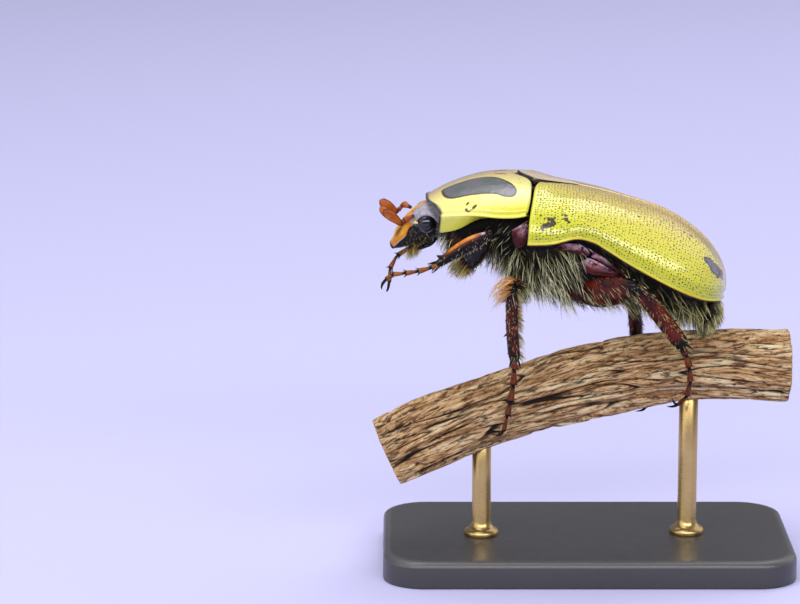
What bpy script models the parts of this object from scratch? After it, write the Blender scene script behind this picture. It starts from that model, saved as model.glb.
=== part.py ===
"""A yellow flower chafer, life size, standing on a short length of branch that a small display stand holds.

Lengths in this file are millimetres; make_object turns them into metres.
The body frame has +X towards the head, +Y to the beetle's left and +Z up, and its origin is on the back,
at the middle of the pronotum's rear edge. The stand frame has its origin under the middle of the stand's base.
"""

import math
import random
from itertools import product

import bmesh
import bpy
from mathutils import Matrix, Vector
from mathutils.bvhtree import BVHTree

MM = 0.001
GAP = 0.3  # kept between neighbours, which never touch
MERGES = (0.002, 0.0005, 0.0001)  # slivers thinner than this are dissolved, the widest first
SEED = 11

# how the body is held over the stand
BODY_AT = Vector((5.0, 0.0, 29.0))
BODY_PITCH = math.radians(14.0)

# elytra, in the body frame
SHELL = 0.5
ELYTRON_FRONT = -1.35
ELYTRON_FRONT_BOW = 0.22  # how far its front edge bows forward between suture and margin
ELYTRON_REAR = -16.55
CREST_Z = 0.1
APEX_Z = -5.0
CREST_DROP_FROM = -9.0
WIDEST_REAR = 5.6
TAPER_FROM = -11.0
TAPER_POWER = 2.3
SECTION_POWER = 2.25
HALF_WIDTH = ((-11.0, 5.6), (-8.5, 5.65), (-6.0, 5.65), (-4.0, 6.05), (-1.5, 5.95))
CREST = ((-9.0, 0.1), (-6.3, 0.18), (-4.3, 0.1), (-1.0, 0.0))
MARGIN_Z = (
    (-16.55, -5.35), (-15.0, -5.32), (-13.0, -4.95), (-10.8, -4.42), (-8.6, -3.8),
    (-7.0, -3.27), (-5.9, -2.93), (-4.6, -2.92), (-3.0, -3.7), (-1.35, -4.2),
)
SUTURE_HALF_GAP = 0.15
SHOULDER_BUMP = (-2.9, 4.3, 0.9, 0.22)  # x, y, radius and height of the humeral callus
APICAL_BUMP = (-13.9, 3.0, 1.1, 0.2)

# pronotum
PRONOTUM_FRONT = 6.1
PRONOTUM_FRONT_SWEEP = 1.2
PRONOTUM_REAR = -0.72
PRONOTUM_REAR_SWEEP = -0.12
NOTCH_DEPTH = 1.25
NOTCH_HALF_WIDTH = 1.3
PRONOTUM_WALL = 0.65
PRONOTUM_HALF_WIDTH = ((-1.5, 5.3), (0.0, 5.25), (2.0, 4.75), (4.0, 3.85), (6.1, 2.6))
PRONOTUM_CREST = ((-1.5, 0.05), (0.0, 0.0), (1.7, -0.36), (3.4, -1.08), (5.07, -2.2), (6.1, -3.2))
PRONOTUM_SIDE_Z = ((-0.7, -1.95), (0.0, -2.2), (2.5, -2.85), (4.9, -4.0), (6.1, -4.5))
FLANGE_DEPTH = ((-1.5, 0.35), (1.0, 0.6), (3.4, 1.2), (6.1, 1.1))

# scutellum
SCUTELLUM_TIP = -4.35
SCUTELLUM_CORNER_X = -1.05
SCUTELLUM_HALF_WIDTH = 1.75
SCUTELLUM_DEPTH = 0.7

# plates at the side of the thorax: their centre lines on the left
MESEPIMERON_LINE = ((-0.35, 5.1, -2.6), (-0.6, 5.4, -3.15), (-0.8, 5.45, -3.9), (-0.95, 5.1, -4.7))
METEPIMERON_LINE = ((-4.2, 5.35, -4.05), (-5.4, 5.5, -3.85), (-6.6, 5.2, -4.1), (-7.9, 4.95, -4.75))

# thorax and abdomen cores, under the shells
THORAX_SPAN = (-0.85, -7.1)
ABDOMEN_SPAN = (-7.4, -15.6)
PROSTERNUM_SPAN = (4.9, -0.5)
UNDER_SHELL = 0.95  # from a shell's outer face to the body below it
BELLY_Z = (
    (-17.0, -5.9), (-16.0, -6.6), (-14.5, -7.2), (-11.0, -7.5), (-7.0, -7.65), (-3.0, -7.6), (-0.5, -7.0),
)
CHEST_Z = ((-0.5, -6.6), (2.0, -6.5), (4.9, -5.7))
STERNITES = 6

# head, along its own axis from the neck to the front of the clypeus
HEAD_AT = Vector((6.0, 0.0, -3.45))
HEAD_DIP = math.radians(64.0)
HEAD_LENGTH = 4.4
HEAD_HALF_WIDTH = ((0.0, 1.55), (0.9, 2.0), (1.7, 1.75), (2.3, 1.5), (3.2, 1.55), (4.0, 1.45), (4.4, 1.15))
HEAD_DEPTH = ((0.0, 2.3), (1.0, 2.5), (2.0, 2.25), (3.0, 1.6), (4.0, 0.85), (4.4, 0.5))
HEAD_TOP = ((0.0, -0.1), (1.2, 0.05), (2.6, 0.0), (3.5, -0.12), (4.1, 0.05), (4.4, 0.22))
EYE_AT = (1.4, 1.95, -1.1)
EYE_RADIUS = 0.72

# branch: its centre line in the stand frame, and its girth
PERCH_LINE = (
    (14.6, 1.2, 8.2), (10.5, 1.05, 10.1), (6.1, 0.9, 11.8),
    (-0.85, 0.6, 13.8), (-7.4, 0.5, 14.7), (-14.6, 0.5, 14.6),
)
PERCH_RADIUS = 2.45
PERCH_RIDGES = ((3, 0.08), (5, 0.1), (8, 0.06))  # ridges round the bark and their height

# stand
BASE_SIZE = (30.0, 17.0, 2.0)
BASE_CORNER = 3.0
BASE_BEVEL = 0.5
ROD_RADIUS = 0.7
ROD_XS = (8.0, -8.5)
ROD_SINK = 1.2  # how far a rod runs into its hole in the branch

# coats of hair, built as locks: length and width of each kind
LOCK_THICKNESS = 0.5
LOCK_SINK = 0.4
LOCK_SPREAD = 0.3  # how far a lock's length and lie stray from its neighbours'
BODY_LOCK = (1.9, 1.05)
TAIL_LOCK = (1.6, 1.0)
CHEST_LOCK = (1.6, 1.0)
LEG_LOCK = (1.2, 0.75)
BRUSH_LOCK = (1.9, 0.85)
# rows of locks: places along the body, turns below the left side in degrees, and the lie
THORAX_ROWS = (
    ((-1.5, -2.3, -3.1, -3.9, -4.7, -5.5, -6.4), (-4, -24, -44), (-0.75, 0.2, -0.65)),
    ((-2.8, -3.6, -4.4), (-66, -86), (-0.75, 0.1, -0.65)),
)
ABDOMEN_ROWS = (
    ((-8.0, -9.4, -10.8, -12.2, -13.6), (-16, -42, -74), (-0.55, 0.1, -0.8)),
    ((-14.7,), (-30, -60, -85), (-0.35, 0.1, -0.9)),
)
CHEST_ROWS = (((3.8, 2.7, 1.6, 0.6, -0.2), (-18, -45, -76), (-0.5, 0.15, -0.85)),)
FRINGES = {"front": (0.3, 0.55, 0.8), "middle": (0.3, 0.5, 0.7, 0.88), "hind": (0.3, 0.5, 0.68, 0.86)}

COLOURS = {
    "shell_yellow": ((0.72, 0.66, 0.07), 0.25, 0.0),
    "scutellum_tan": ((0.62, 0.42, 0.18), 0.3, 0.0),
    "body_dark": ((0.05, 0.04, 0.03), 0.5, 0.0),
    "plate_brown": ((0.20, 0.05, 0.035), 0.3, 0.0),
    "leg_brown": ((0.26, 0.06, 0.03), 0.35, 0.0),
    "antenna_orange": ((0.50, 0.16, 0.03), 0.4, 0.0),
    "eye_black": ((0.01, 0.01, 0.015), 0.08, 0.0),
    "bark": ((0.42, 0.27, 0.14), 0.9, 0.0),
    "stand_base": ((0.09, 0.08, 0.08), 0.4, 0.0),
    "stand_rod": ((0.65, 0.50, 0.25), 0.3, 1.0),
}


def along(table, x):
    """A smooth curve through the table's (place, value) pairs, held level past its ends."""
    if x <= table[0][0]:
        return table[0][1]
    if x >= table[-1][0]:
        return table[-1][1]
    k = next(i for i in range(len(table) - 1) if x <= table[i + 1][0])
    (x0, y0), (x1, y1) = table[k], table[k + 1]

    def slope(i):
        low, high = table[max(i - 1, 0)], table[min(i + 1, len(table) - 1)]
        return (high[1] - low[1]) / (high[0] - low[0])

    t = (x - x0) / (x1 - x0)
    step = x1 - x0
    return (
        (2 * t**3 - 3 * t**2 + 1) * y0
        + (t**3 - 2 * t**2 + t) * step * slope(k)
        + (3 * t**2 - 2 * t**3) * y1
        + (t**3 - t**2) * step * slope(k + 1)
    )


def power(value, exponent):
    """A power that keeps the value's sign."""
    return math.copysign(abs(value) ** exponent, value)


def body_to_stand():
    return Matrix.Translation(BODY_AT) @ Matrix.Rotation(-BODY_PITCH, 4, "Y")


def head_to_body():
    """The head's frame: x along the head to the clypeus, y to the left, z out of its face."""
    return Matrix.Translation(HEAD_AT) @ Matrix.Rotation(HEAD_DIP, 4, "Y")


def material(name):
    found = bpy.data.materials.get(name)
    if found:
        return found
    made = bpy.data.materials.new(name)
    made.use_nodes = True
    colour, roughness, metallic = COLOURS[name]
    shader = made.node_tree.nodes["Principled BSDF"]
    shader.inputs["Base Color"].default_value = (*colour, 1.0)
    shader.inputs["Roughness"].default_value = roughness
    shader.inputs["Metallic"].default_value = metallic
    return made


def make_object(name, points, faces, colour, frame=None):
    """A closed mesh object from points in millimetres; frame turns them into the stand frame."""
    mesh = bpy.data.meshes.new(name)
    placed = [(frame @ Vector(p) if frame else Vector(p)) * MM for p in points]
    mesh.from_pydata(placed, [], faces)
    shaped = bmesh.new()
    shaped.from_mesh(mesh)
    bmesh.ops.triangulate(shaped, faces=shaped.faces)
    bmesh.ops.recalc_face_normals(shaped, faces=shaped.faces)
    if shaped.calc_volume(signed=True) < 0:
        bmesh.ops.reverse_faces(shaped, faces=shaped.faces)
    shaped.to_mesh(mesh)
    shaped.free()
    mesh.shade_smooth()
    mesh.set_sharp_from_angle(angle=math.radians(40))
    mesh.materials.append(material(colour))
    made = bpy.data.objects.new(name, mesh)
    bpy.context.scene.collection.objects.link(made)
    return made


def loft(rings):
    """Points and faces of a closed form through rings of equal length, with flat ends.

    A ring of one point is a tip.
    """
    points, faces, starts = [], [], []
    for ring in rings:
        starts.append(len(points))
        points.extend(ring)
    for k in range(len(rings) - 1):
        a, b = starts[k], starts[k + 1]
        n, m = len(rings[k]), len(rings[k + 1])
        for i in range(max(n, m)):
            j = (i + 1) % max(n, m)
            if n == 1:
                faces.append((a, b + j, b + i))
            elif m == 1:
                faces.append((a + i, a + j, b))
            else:
                faces.append((a + i, a + j, b + j, b + i))
    if len(rings[0]) > 1:
        faces.append(tuple(reversed(range(starts[0], starts[0] + len(rings[0])))))
    if len(rings[-1]) > 1:
        faces.append(tuple(range(starts[-1], starts[-1] + len(rings[-1]))))
    return points, faces


def shell_from_grid(grid, thickness):
    """A closed plate: the grid is its outer face, and its inner face lies thickness further in."""
    rows, columns = len(grid), len(grid[0])

    def normal(i, j):
        along_rows = grid[min(i + 1, rows - 1)][j] - grid[max(i - 1, 0)][j]
        along_columns = grid[i][min(j + 1, columns - 1)] - grid[i][max(j - 1, 0)]
        return along_rows.cross(along_columns).normalized()

    outward = 1.0 if normal(rows // 2, columns // 4).z > 0 else -1.0
    points = [p for row in grid for p in row]
    places = product(range(rows), range(columns))
    points += [grid[i][j] - normal(i, j) * (outward * thickness) for i, j in places]
    count = rows * columns
    faces = []
    for i in range(rows - 1):
        for j in range(columns - 1):
            a = i * columns + j
            quad = (a, a + 1, a + columns + 1, a + columns)
            faces.append(quad)
            faces.append(tuple(count + k for k in reversed(quad)))
    border = [j for j in range(columns)]
    border += [i * columns + columns - 1 for i in range(1, rows)]
    border += [(rows - 1) * columns + j for j in range(columns - 2, -1, -1)]
    border += [i * columns for i in range(rows - 2, 0, -1)]
    for a, b in zip(border, border[1:] + border[:1]):
        faces.append((b, a, count + a, count + b))
    return points, faces


def evaluated_copy(source, name, grow=0.0):
    """A new object with the source's shape in the stand frame, each point moved out by grow millimetres."""
    bpy.context.view_layer.update()
    graph = bpy.context.evaluated_depsgraph_get()
    mesh = bpy.data.meshes.new_from_object(source.evaluated_get(graph))
    mesh.transform(source.matrix_world)
    if grow:
        shaped = bmesh.new()
        shaped.from_mesh(mesh)
        shaped.normal_update()
        for vertex in shaped.verts:
            vertex.co += vertex.normal * (grow * MM)
        shaped.to_mesh(mesh)
        shaped.free()
    copy = bpy.data.objects.new(name, mesh)
    bpy.context.scene.collection.objects.link(copy)
    return copy


def combine(base, pieces, operation):
    """Joins the pieces to the base, or cuts them from it, and removes them.

    The base keeps its largest closed surface.
    """
    group = bpy.data.collections.new(base.name + "_pieces")
    bpy.context.scene.collection.children.link(group)
    for piece in pieces:
        bpy.context.scene.collection.objects.unlink(piece)
        group.objects.link(piece)
    modifier = base.modifiers.new(operation.lower(), "BOOLEAN")
    modifier.operation = operation
    modifier.operand_type = "COLLECTION"
    modifier.collection = group
    for solver, merge in product(("EXACT", "MANIFOLD"), MERGES):
        modifier.solver = solver
        bpy.context.view_layer.update()
        graph = bpy.context.evaluated_depsgraph_get()
        mesh = bpy.data.meshes.new_from_object(base.evaluated_get(graph))
        if keep_largest(mesh, merge):
            break
    base.modifiers.clear()
    base.data = mesh
    for piece in list(group.objects):
        bpy.data.objects.remove(piece)
    bpy.data.collections.remove(group)


def keep_largest(mesh, merge):
    """Leaves only the closed surface that holds most, in triangles, and says whether it is closed."""
    shaped = bmesh.new()
    shaped.from_mesh(mesh)
    bmesh.ops.triangulate(shaped, faces=shaped.faces)
    bmesh.ops.dissolve_degenerate(shaped, edges=shaped.edges, dist=merge * MM)
    bmesh.ops.triangulate(shaped, faces=shaped.faces)
    waiting, shells = set(shaped.faces), []
    while waiting:
        shell, front = [], [waiting.pop()]
        while front:
            face = front.pop()
            shell.append(face)
            for edge in face.edges:
                for other in edge.link_faces:
                    if other in waiting:
                        waiting.discard(other)
                        front.append(other)
        shells.append(shell)

    def volume(shell):
        corners = ([v.co for v in face.verts] for face in shell)
        return sum(a.dot(b.cross(c)) for a, b, c in corners) / 6.0

    best = max(shells, key=volume)
    spare = [face for shell in shells if shell is not best for face in shell]
    bmesh.ops.delete(shaped, geom=spare, context="FACES")
    closed = all(len(edge.link_faces) == 2 for edge in shaped.edges)
    shaped.to_mesh(mesh)
    shaped.free()
    mesh.shade_smooth()
    mesh.set_sharp_from_angle(angle=math.radians(40))
    return closed


def clear(node, others, rooms=()):
    """Cuts the node back wherever one of the others, grown by the gap, would reach into it.

    The rooms are cut out too. Each is the points and faces of a coarse form, in the stand frame, round
    something that needs no closer fit.
    """
    cutters = [evaluated_copy(other, f"cut_{k}", GAP) for k, other in enumerate(others)]
    cutters += [make_object(f"room_{k}", *room, "body_dark") for k, room in enumerate(rooms)]
    combine(node, cutters, "DIFFERENCE")


def tube(path, sizes, sides=8, across=None, round_ends=True):
    """Points and faces of a limb along a path; its sizes are a half breadth and half thickness at each point.

    across is the direction in which the breadth is measured, as near as the path allows.
    """
    path = [Vector(p) for p in path]
    across = Vector(across) if across else Vector((0.0, 0.0, 1.0))
    rings = []
    for k, place in enumerate(path):
        heading = (path[min(k + 1, len(path) - 1)] - path[max(k - 1, 0)]).normalized()
        wide = (across - heading * across.dot(heading)).normalized()
        thin = heading.cross(wide)
        breadth, thickness = sizes[k]
        ring = []
        for i in range(sides):
            turn = 2 * math.pi * (i + 0.5) / sides
            out = wide * (breadth * math.cos(turn)) + thin * (thickness * math.sin(turn))
            ring.append(place + out)
        if round_ends and k == 0:
            middle = sum(ring, Vector()) / sides
            rings.append([middle + (p - middle) * 0.6 - heading * (0.5 * min(sizes[0])) for p in ring])
        rings.append(ring)
        if round_ends and k == len(path) - 1:
            middle = sum(ring, Vector()) / sides
            rings.append([middle + (p - middle) * 0.6 + heading * (0.5 * min(sizes[-1])) for p in ring])
    return loft(rings)


def ellipsoid(centre, radii, rings=6, sides=10):
    """Points and faces of an ellipsoid whose poles lie on its own z axis."""
    made = [[Vector(centre) + Vector((0, 0, -radii[2]))]]
    for k in range(1, rings):
        tilt = math.pi * (k / rings - 0.5)
        made.append([
            Vector(centre) + Vector((
                radii[0] * math.cos(tilt) * math.cos(2 * math.pi * i / sides),
                radii[1] * math.cos(tilt) * math.sin(2 * math.pi * i / sides),
                radii[2] * math.sin(tilt),
            ))
            for i in range(sides)
        ])
    made.append([Vector(centre) + Vector((0, 0, radii[2]))])
    return loft(made)


def lock_shape(root, normal, lie, length, width, lift=0.7):
    """One flat, tapered lock of hair. It leaves the surface along its normal and bends over to its lie."""
    side = normal.cross(lie).normalized()
    steps = 3
    place = root - normal * LOCK_SINK
    heading = normal
    rings = []
    for k in range(steps):
        share = k / steps
        flat = heading.cross(side).normalized()
        half_width = 0.5 * width * (1.0 - 0.6 * share * share)
        half_thickness = 0.5 * LOCK_THICKNESS * (1.0 - 0.5 * share)
        rings.append([
            place + side * half_width, place + flat * half_thickness,
            place - side * half_width, place - flat * half_thickness,
        ])
        heading = (normal * (lift * (1.0 - share)) + lie * (0.35 + share)).normalized()
        place = place + heading * ((length + LOCK_SINK) / steps)
    rings.append([place])
    return loft(rings)


def tree_of(target):
    """A search tree of the object's faces, in millimetres in the stand frame."""
    bpy.context.view_layer.update()
    corners = [target.matrix_world @ v.co / MM for v in target.data.vertices]
    return BVHTree.FromPolygons(corners, [tuple(p.vertices) for p in target.data.polygons])


def stays_clear(points, faces, trees):
    """Whether a lock keeps the gap to every tree's faces, all along its edges."""
    tests = list(points)
    for face in faces:
        tests += [(points[a] + points[b]) / 2 for a, b in zip(face, face[1:] + face[:1])]
    return not any(tree.find_nearest(place, 1.1 * GAP)[0] for tree in trees for place in tests)


def grow_locks(node, roots, others, rng):
    """Fuses a lock into the node at each root.

    A root is a place, normal, lie, length and width, in the stand frame. A lock that would come too near to
    one of the others is turned aside or shortened, and left off if neither helps.
    """
    trees = [tree_of(other) for other in others]
    pieces = []
    for k, (place, normal, lie, length, width) in enumerate(roots):
        size = length * (1.0 + LOCK_SPREAD * (rng.random() - 0.5))
        stray = LOCK_SPREAD * (rng.random() - 0.5)
        for turn, cut in product((0.0, 0.4, -0.4, 0.8, -0.8), (1.0, 0.8, 0.62, 0.48)):
            turned = Matrix.Rotation(turn + stray, 3, normal) @ lie
            points, faces = lock_shape(place, normal, turned.normalized(), size * cut, width)
            if stays_clear(points, faces, trees):
                pieces.append(make_object(f"{node.name}_lock_{k}", points, faces, "body_dark"))
                break
    if pieces:
        combine(node, pieces, "UNION")
    return len(pieces)


def in_stand(roots):
    """Roots given in the body frame, in the stand frame."""
    frame = body_to_stand()
    turn = frame.to_3x3()
    placed = []
    for place, normal, lie, length, width in roots:
        placed.append((frame @ place, (turn @ normal).normalized(), (turn @ lie).normalized(), length, width))
    return placed


# Shapes of the body, in the body frame


def half_width(x):
    if x >= TAPER_FROM:
        return along(HALF_WIDTH, x)
    share = min((TAPER_FROM - x) / (TAPER_FROM - ELYTRON_REAR), 0.995)
    return WIDEST_REAR * (1.0 - share**TAPER_POWER) ** (1.0 / TAPER_POWER)


def crest(x):
    if x >= CREST_DROP_FROM:
        return along(CREST, x)
    share = min((CREST_DROP_FROM - x) / (CREST_DROP_FROM - ELYTRON_REAR), 1.0)
    return APEX_Z + (CREST_Z - APEX_Z) * math.sqrt(1.0 - share * share)


def bump(x, y, shape):
    at_x, at_y, radius, height = shape
    return height * math.exp(-((x - at_x) ** 2 + (y - at_y) ** 2) / radius**2)


def scutellum_half_width(x):
    """Half the scutellum's width behind its front corners."""
    share = (SCUTELLUM_CORNER_X - x) / (SCUTELLUM_CORNER_X - SCUTELLUM_TIP)
    return SCUTELLUM_HALF_WIDTH * (1.0 - min(max(share, 0.0), 1.0) ** 1.15)


def elytron_inner_edge(x):
    if x < SCUTELLUM_TIP - GAP:
        return SUTURE_HALF_GAP
    return max(SUTURE_HALF_GAP, scutellum_half_width(x) + GAP)


def elytron_point(u, v):
    """The elytron's outer face: u runs from the front to the tip, v from the suture to the outer margin."""
    front = ELYTRON_FRONT + ELYTRON_FRONT_BOW * math.sin(math.pi * v)
    share = 0.15 * u + 0.85 * math.sin(u * math.pi / 2)
    x = front + (ELYTRON_REAR - front) * share
    width, top, low = half_width(x), crest(x), along(MARGIN_Z, x)
    inner = min(elytron_inner_edge(x), 0.6 * width)
    start = math.asin((inner / width) ** (SECTION_POWER / 2))
    turn = start + (math.pi / 2 - start) * v
    y = width * math.sin(turn) ** (2 / SECTION_POWER)
    z = low + (top - low) * max(math.cos(turn), 0.0) ** (2 / SECTION_POWER)
    z += bump(x, y, SHOULDER_BUMP) + bump(x, y, APICAL_BUMP)
    return Vector((x, y, z))


def pronotum_rear(y):
    notch = NOTCH_DEPTH * math.exp(-abs(y / NOTCH_HALF_WIDTH) ** 2.5)
    return PRONOTUM_REAR - PRONOTUM_REAR_SWEEP * (y / 5.3) ** 2 + notch


def pronotum_section(u, inset, turns):
    """One line over the pronotum from its left lower edge to its right one, set in by inset millimetres."""
    line = []
    for v in turns:
        turn = min(max(v, -1.0), 1.0) * math.pi / 2
        spread = power(math.sin(turn), 0.9)
        front = PRONOTUM_FRONT - PRONOTUM_FRONT_SWEEP * spread * spread
        rear = pronotum_rear(5.3 * spread)
        x = front + (rear - front) * u
        width = along(PRONOTUM_HALF_WIDTH, x) - inset
        top = along(PRONOTUM_CREST, x) - inset
        side = along(PRONOTUM_SIDE_Z, x)
        y = width * spread
        z = side + (top - side) * max(math.cos(turn), 0.0) ** 0.95
        under = abs(v) - 1.0
        if under > 0:
            z -= under * along(FLANGE_DEPTH, x)
            y -= math.copysign(0.45 * under, y)
        line.append(Vector((x, y, z)))
    return line


def belly_ring(x, width, top, middle, bottom, count):
    ring = []
    for k in range(count):
        turn = 2 * math.pi * (k + 0.5) / count
        rise = power(math.sin(turn), 0.9)
        z = middle + rise * ((top - middle) if rise > 0 else (middle - bottom))
        ring.append(Vector((x, width * power(math.cos(turn), 0.9), z)))
    return ring


def thorax_ring(x, count=16):
    front = min(max((x + 3.0) / 2.2, 0.0), 1.0)
    width = half_width(min(x, -1.6)) - UNDER_SHELL - 0.5 * front
    top = min(crest(x), along(PRONOTUM_CREST, max(x, -1.0))) - UNDER_SHELL - 0.3 * front
    return belly_ring(x, width, top, along(MARGIN_Z, min(x, -1.6)) - 0.4, along(BELLY_Z, x), count)


def abdomen_ring(x, step=0.0, count=16):
    """The shells close in behind as well as above, so the tail takes its size from further back."""
    behind = x - UNDER_SHELL
    width = max(min(half_width(x) - UNDER_SHELL, half_width(behind)) - step, 0.8)
    top = min(crest(x) - UNDER_SHELL, crest(behind))
    return belly_ring(x, width, top, along(MARGIN_Z, x) - 0.35, along(BELLY_Z, x) + step, count)


def chest_ring(x, count=14):
    width = along(PRONOTUM_HALF_WIDTH, x) - PRONOTUM_WALL - 0.8
    top = along(PRONOTUM_CREST, x) - PRONOTUM_WALL - 0.4
    middle = along(PRONOTUM_SIDE_Z, x) - 0.5
    return belly_ring(x, width, top, middle, along(CHEST_Z, x), count)


def surface_point(ring_at, x, turn):
    """A place on a body ring's surface and its normal; turn is in degrees, 0 at the left and -90 below."""
    def place(at_x, at_turn):
        ring = ring_at(at_x, count=72)
        return ring[int(round(at_turn / 5.0 - 0.5)) % 72]

    forward = place(x + 0.3, turn) - place(x - 0.3, turn)
    upward = place(x, turn + 10) - place(x, turn - 10)
    return place(x, turn), upward.cross(forward).normalized()


# Nodes of the body


def build_elytra():
    rows, columns = 16, 9
    grid = []
    for i in range(rows):
        grid.append([elytron_point(i / (rows - 1), j / (columns - 1)) for j in range(columns)])
    made = {}
    for side, sign in (("left", 1.0), ("right", -1.0)):
        points, faces = shell_from_grid(grid, SHELL)
        points = [Vector((p.x, p.y * sign, p.z)) for p in points]
        points = [Vector((p.x, sign * max(p.y * sign, SUTURE_HALF_GAP), p.z)) for p in points]
        made[side] = make_object(f"elytron_{side}", points, faces, "shell_yellow", body_to_stand())
    return made


def build_scutellum():
    edge = []
    front_ys = [-1.0, -0.5, 0.0, 0.5, 1.0]
    for share in front_ys:
        y = share * SCUTELLUM_HALF_WIDTH
        edge.append(Vector((pronotum_rear(y) - GAP, y, 0.0)))
    back = [SCUTELLUM_CORNER_X + (SCUTELLUM_TIP - SCUTELLUM_CORNER_X) * s for s in (0.25, 0.5, 0.75)]
    edge += [Vector((x, scutellum_half_width(x), 0.0)) for x in back]
    edge.append(Vector((SCUTELLUM_TIP, 0.0, 0.0)))
    edge += [Vector((x, -scutellum_half_width(x), 0.0)) for x in reversed(back)]
    middle = Vector((-2.0, 0.0, 0.0))
    rings = []
    for inset, drop in ((0.0, SCUTELLUM_DEPTH), (0.0, 0.12), (0.12, 0.0), (0.6, -0.06)):
        keep = 1 - inset
        rings.append([
            Vector((middle.x + (p.x - middle.x) * keep, p.y * keep, crest(p.x) - drop)) for p in edge
        ])
    points, faces = loft(rings)
    return make_object("scutellum", points, faces, "scutellum_tan", body_to_stand())


def build_pronotum():
    turns = [-1.9, -1.5] + [k / 7 for k in range(-7, 8)] + [1.5, 1.9]
    rings = []
    for k in range(9):
        u = k / 8
        outer = pronotum_section(u, 0.0, turns)
        inner = pronotum_section(u, PRONOTUM_WALL, turns)
        rings.append(outer + list(reversed(inner)))
    points, faces = loft(rings)
    return make_object("pronotum", points, faces, "shell_yellow", body_to_stand())


def build_side_plates():
    """The mesepimeron fills the wedge before the shoulder; the metepimeron lies under the bay behind it."""
    mes_sizes = ((0.3, 0.3), (0.5, 0.34), (0.5, 0.34), (0.3, 0.3))
    met_sizes = ((0.25, 0.27), (0.5, 0.3), (0.55, 0.3), (0.27, 0.27))
    plates = {
        "mesepimeron": (MESEPIMERON_LINE, mes_sizes, (1.0, 0.0, 0.0)),
        "metepimeron": (METEPIMERON_LINE, met_sizes, (0.2, 0.0, 1.0)),
    }
    made = []
    for name, (line, sizes, across) in plates.items():
        for side, sign in (("left", 1.0), ("right", -1.0)):
            path = [(x, y * sign, z) for x, y, z in line]
            shape = tube(path, sizes, sides=8, across=across)
            made.append(make_object(f"{name}_{side}", *shape, "plate_brown", body_to_stand()))
    return made


def stations(span, count):
    """Evenly spaced places from one end of a span to the other."""
    return [span[0] + (span[1] - span[0]) * k / (count - 1) for k in range(count)]


def build_cores():
    frame = body_to_stand()
    rings = [thorax_ring(x) for x in stations(THORAX_SPAN, 9)]
    thorax = make_object("thorax", *loft(rings), "body_dark", frame)
    rings = []
    length = (ABDOMEN_SPAN[1] - ABDOMEN_SPAN[0]) / STERNITES
    for k in range(STERNITES):
        start = ABDOMEN_SPAN[0] + length * k
        rings.append(abdomen_ring(start, 0.16))
        rings.append(abdomen_ring(start + 0.9 * length, 0.0))
    abdomen = make_object("abdomen", *loft(rings), "body_dark", frame)
    rings = [chest_ring(x) for x in stations(PROSTERNUM_SPAN, 6)]
    chest = make_object("prosternum", *loft(rings), "body_dark", frame)
    return thorax, abdomen, chest


def build_pygidium():
    """The plate that closes the abdomen behind, under the tips of the elytra."""
    rings = []
    for z, half, x in ((-5.75, 3.0, -15.95), (-6.3, 2.9, -16.1), (-6.9, 2.3, -15.9), (-7.5, 1.2, -15.4)):
        rings.append([
            Vector((x, half, z)), Vector((x - 0.35, 0.5 * half, z)), Vector((x - 0.45, 0.0, z)),
            Vector((x - 0.35, -0.5 * half, z)), Vector((x, -half, z)),
            Vector((x + 0.5, -0.8 * half, z)), Vector((x + 0.5, 0.8 * half, z)),
        ])
    return make_object("pygidium", *loft(rings), "plate_brown", body_to_stand())


def head_ring(s, count=16):
    width, depth = along(HEAD_HALF_WIDTH, s), along(HEAD_DEPTH, s)
    ring = []
    for k in range(count):
        turn = 2 * math.pi * (k + 0.5) / count
        rise = power(math.sin(turn), 0.8)
        z = along(HEAD_TOP, s) - 0.5 * depth + 0.5 * depth * rise
        ring.append(Vector((s, width * power(math.cos(turn), 0.8), z)))
    return ring


def build_head(rng):
    frame = body_to_stand() @ head_to_body()
    places = [0.0, 0.45, 0.9, 1.4, 1.9, 2.4, 3.0, 3.6, 4.1, HEAD_LENGTH]
    head = make_object("head", *loft([head_ring(s) for s in places]), "plate_brown", frame)
    eyes = []
    for side, sign in (("left", 1.0), ("right", -1.0)):
        at = (EYE_AT[0], EYE_AT[1] * sign, EYE_AT[2])
        ball = ellipsoid(at, (EYE_RADIUS, 0.55, EYE_RADIUS), 6, 10)
        eyes.append(make_object(f"eye_{side}", *ball, "eye_black", frame))
    mouth_path = [(1.9, 0.0, -3.0), (2.6, 0.0, -2.85), (3.35, 0.0, -2.35)]
    mouth_sizes = [(0.75, 0.35), (0.85, 0.4), (0.6, 0.3)]
    mouth = make_object(
        "mouthparts", *tube(mouth_path, mouth_sizes, sides=10, across=(0, 1, 0)), "leg_brown", frame,
    )
    brush, turn = [], frame.to_3x3()
    for k in range(5):
        y = 0.3 * (k - 2)
        place = frame @ Vector((2.4 + 0.35 * (k % 2), y, -3.0))
        normal = (turn @ Vector((0.0, 0.4 * y, -1.0))).normalized()
        lie = (turn @ Vector((0.5, 0.5 * y, -1.0))).normalized()
        brush.append((place, normal, lie, 1.0, 0.6))
    grow_locks(mouth, brush, [head], rng)
    return head, eyes, mouth


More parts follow.
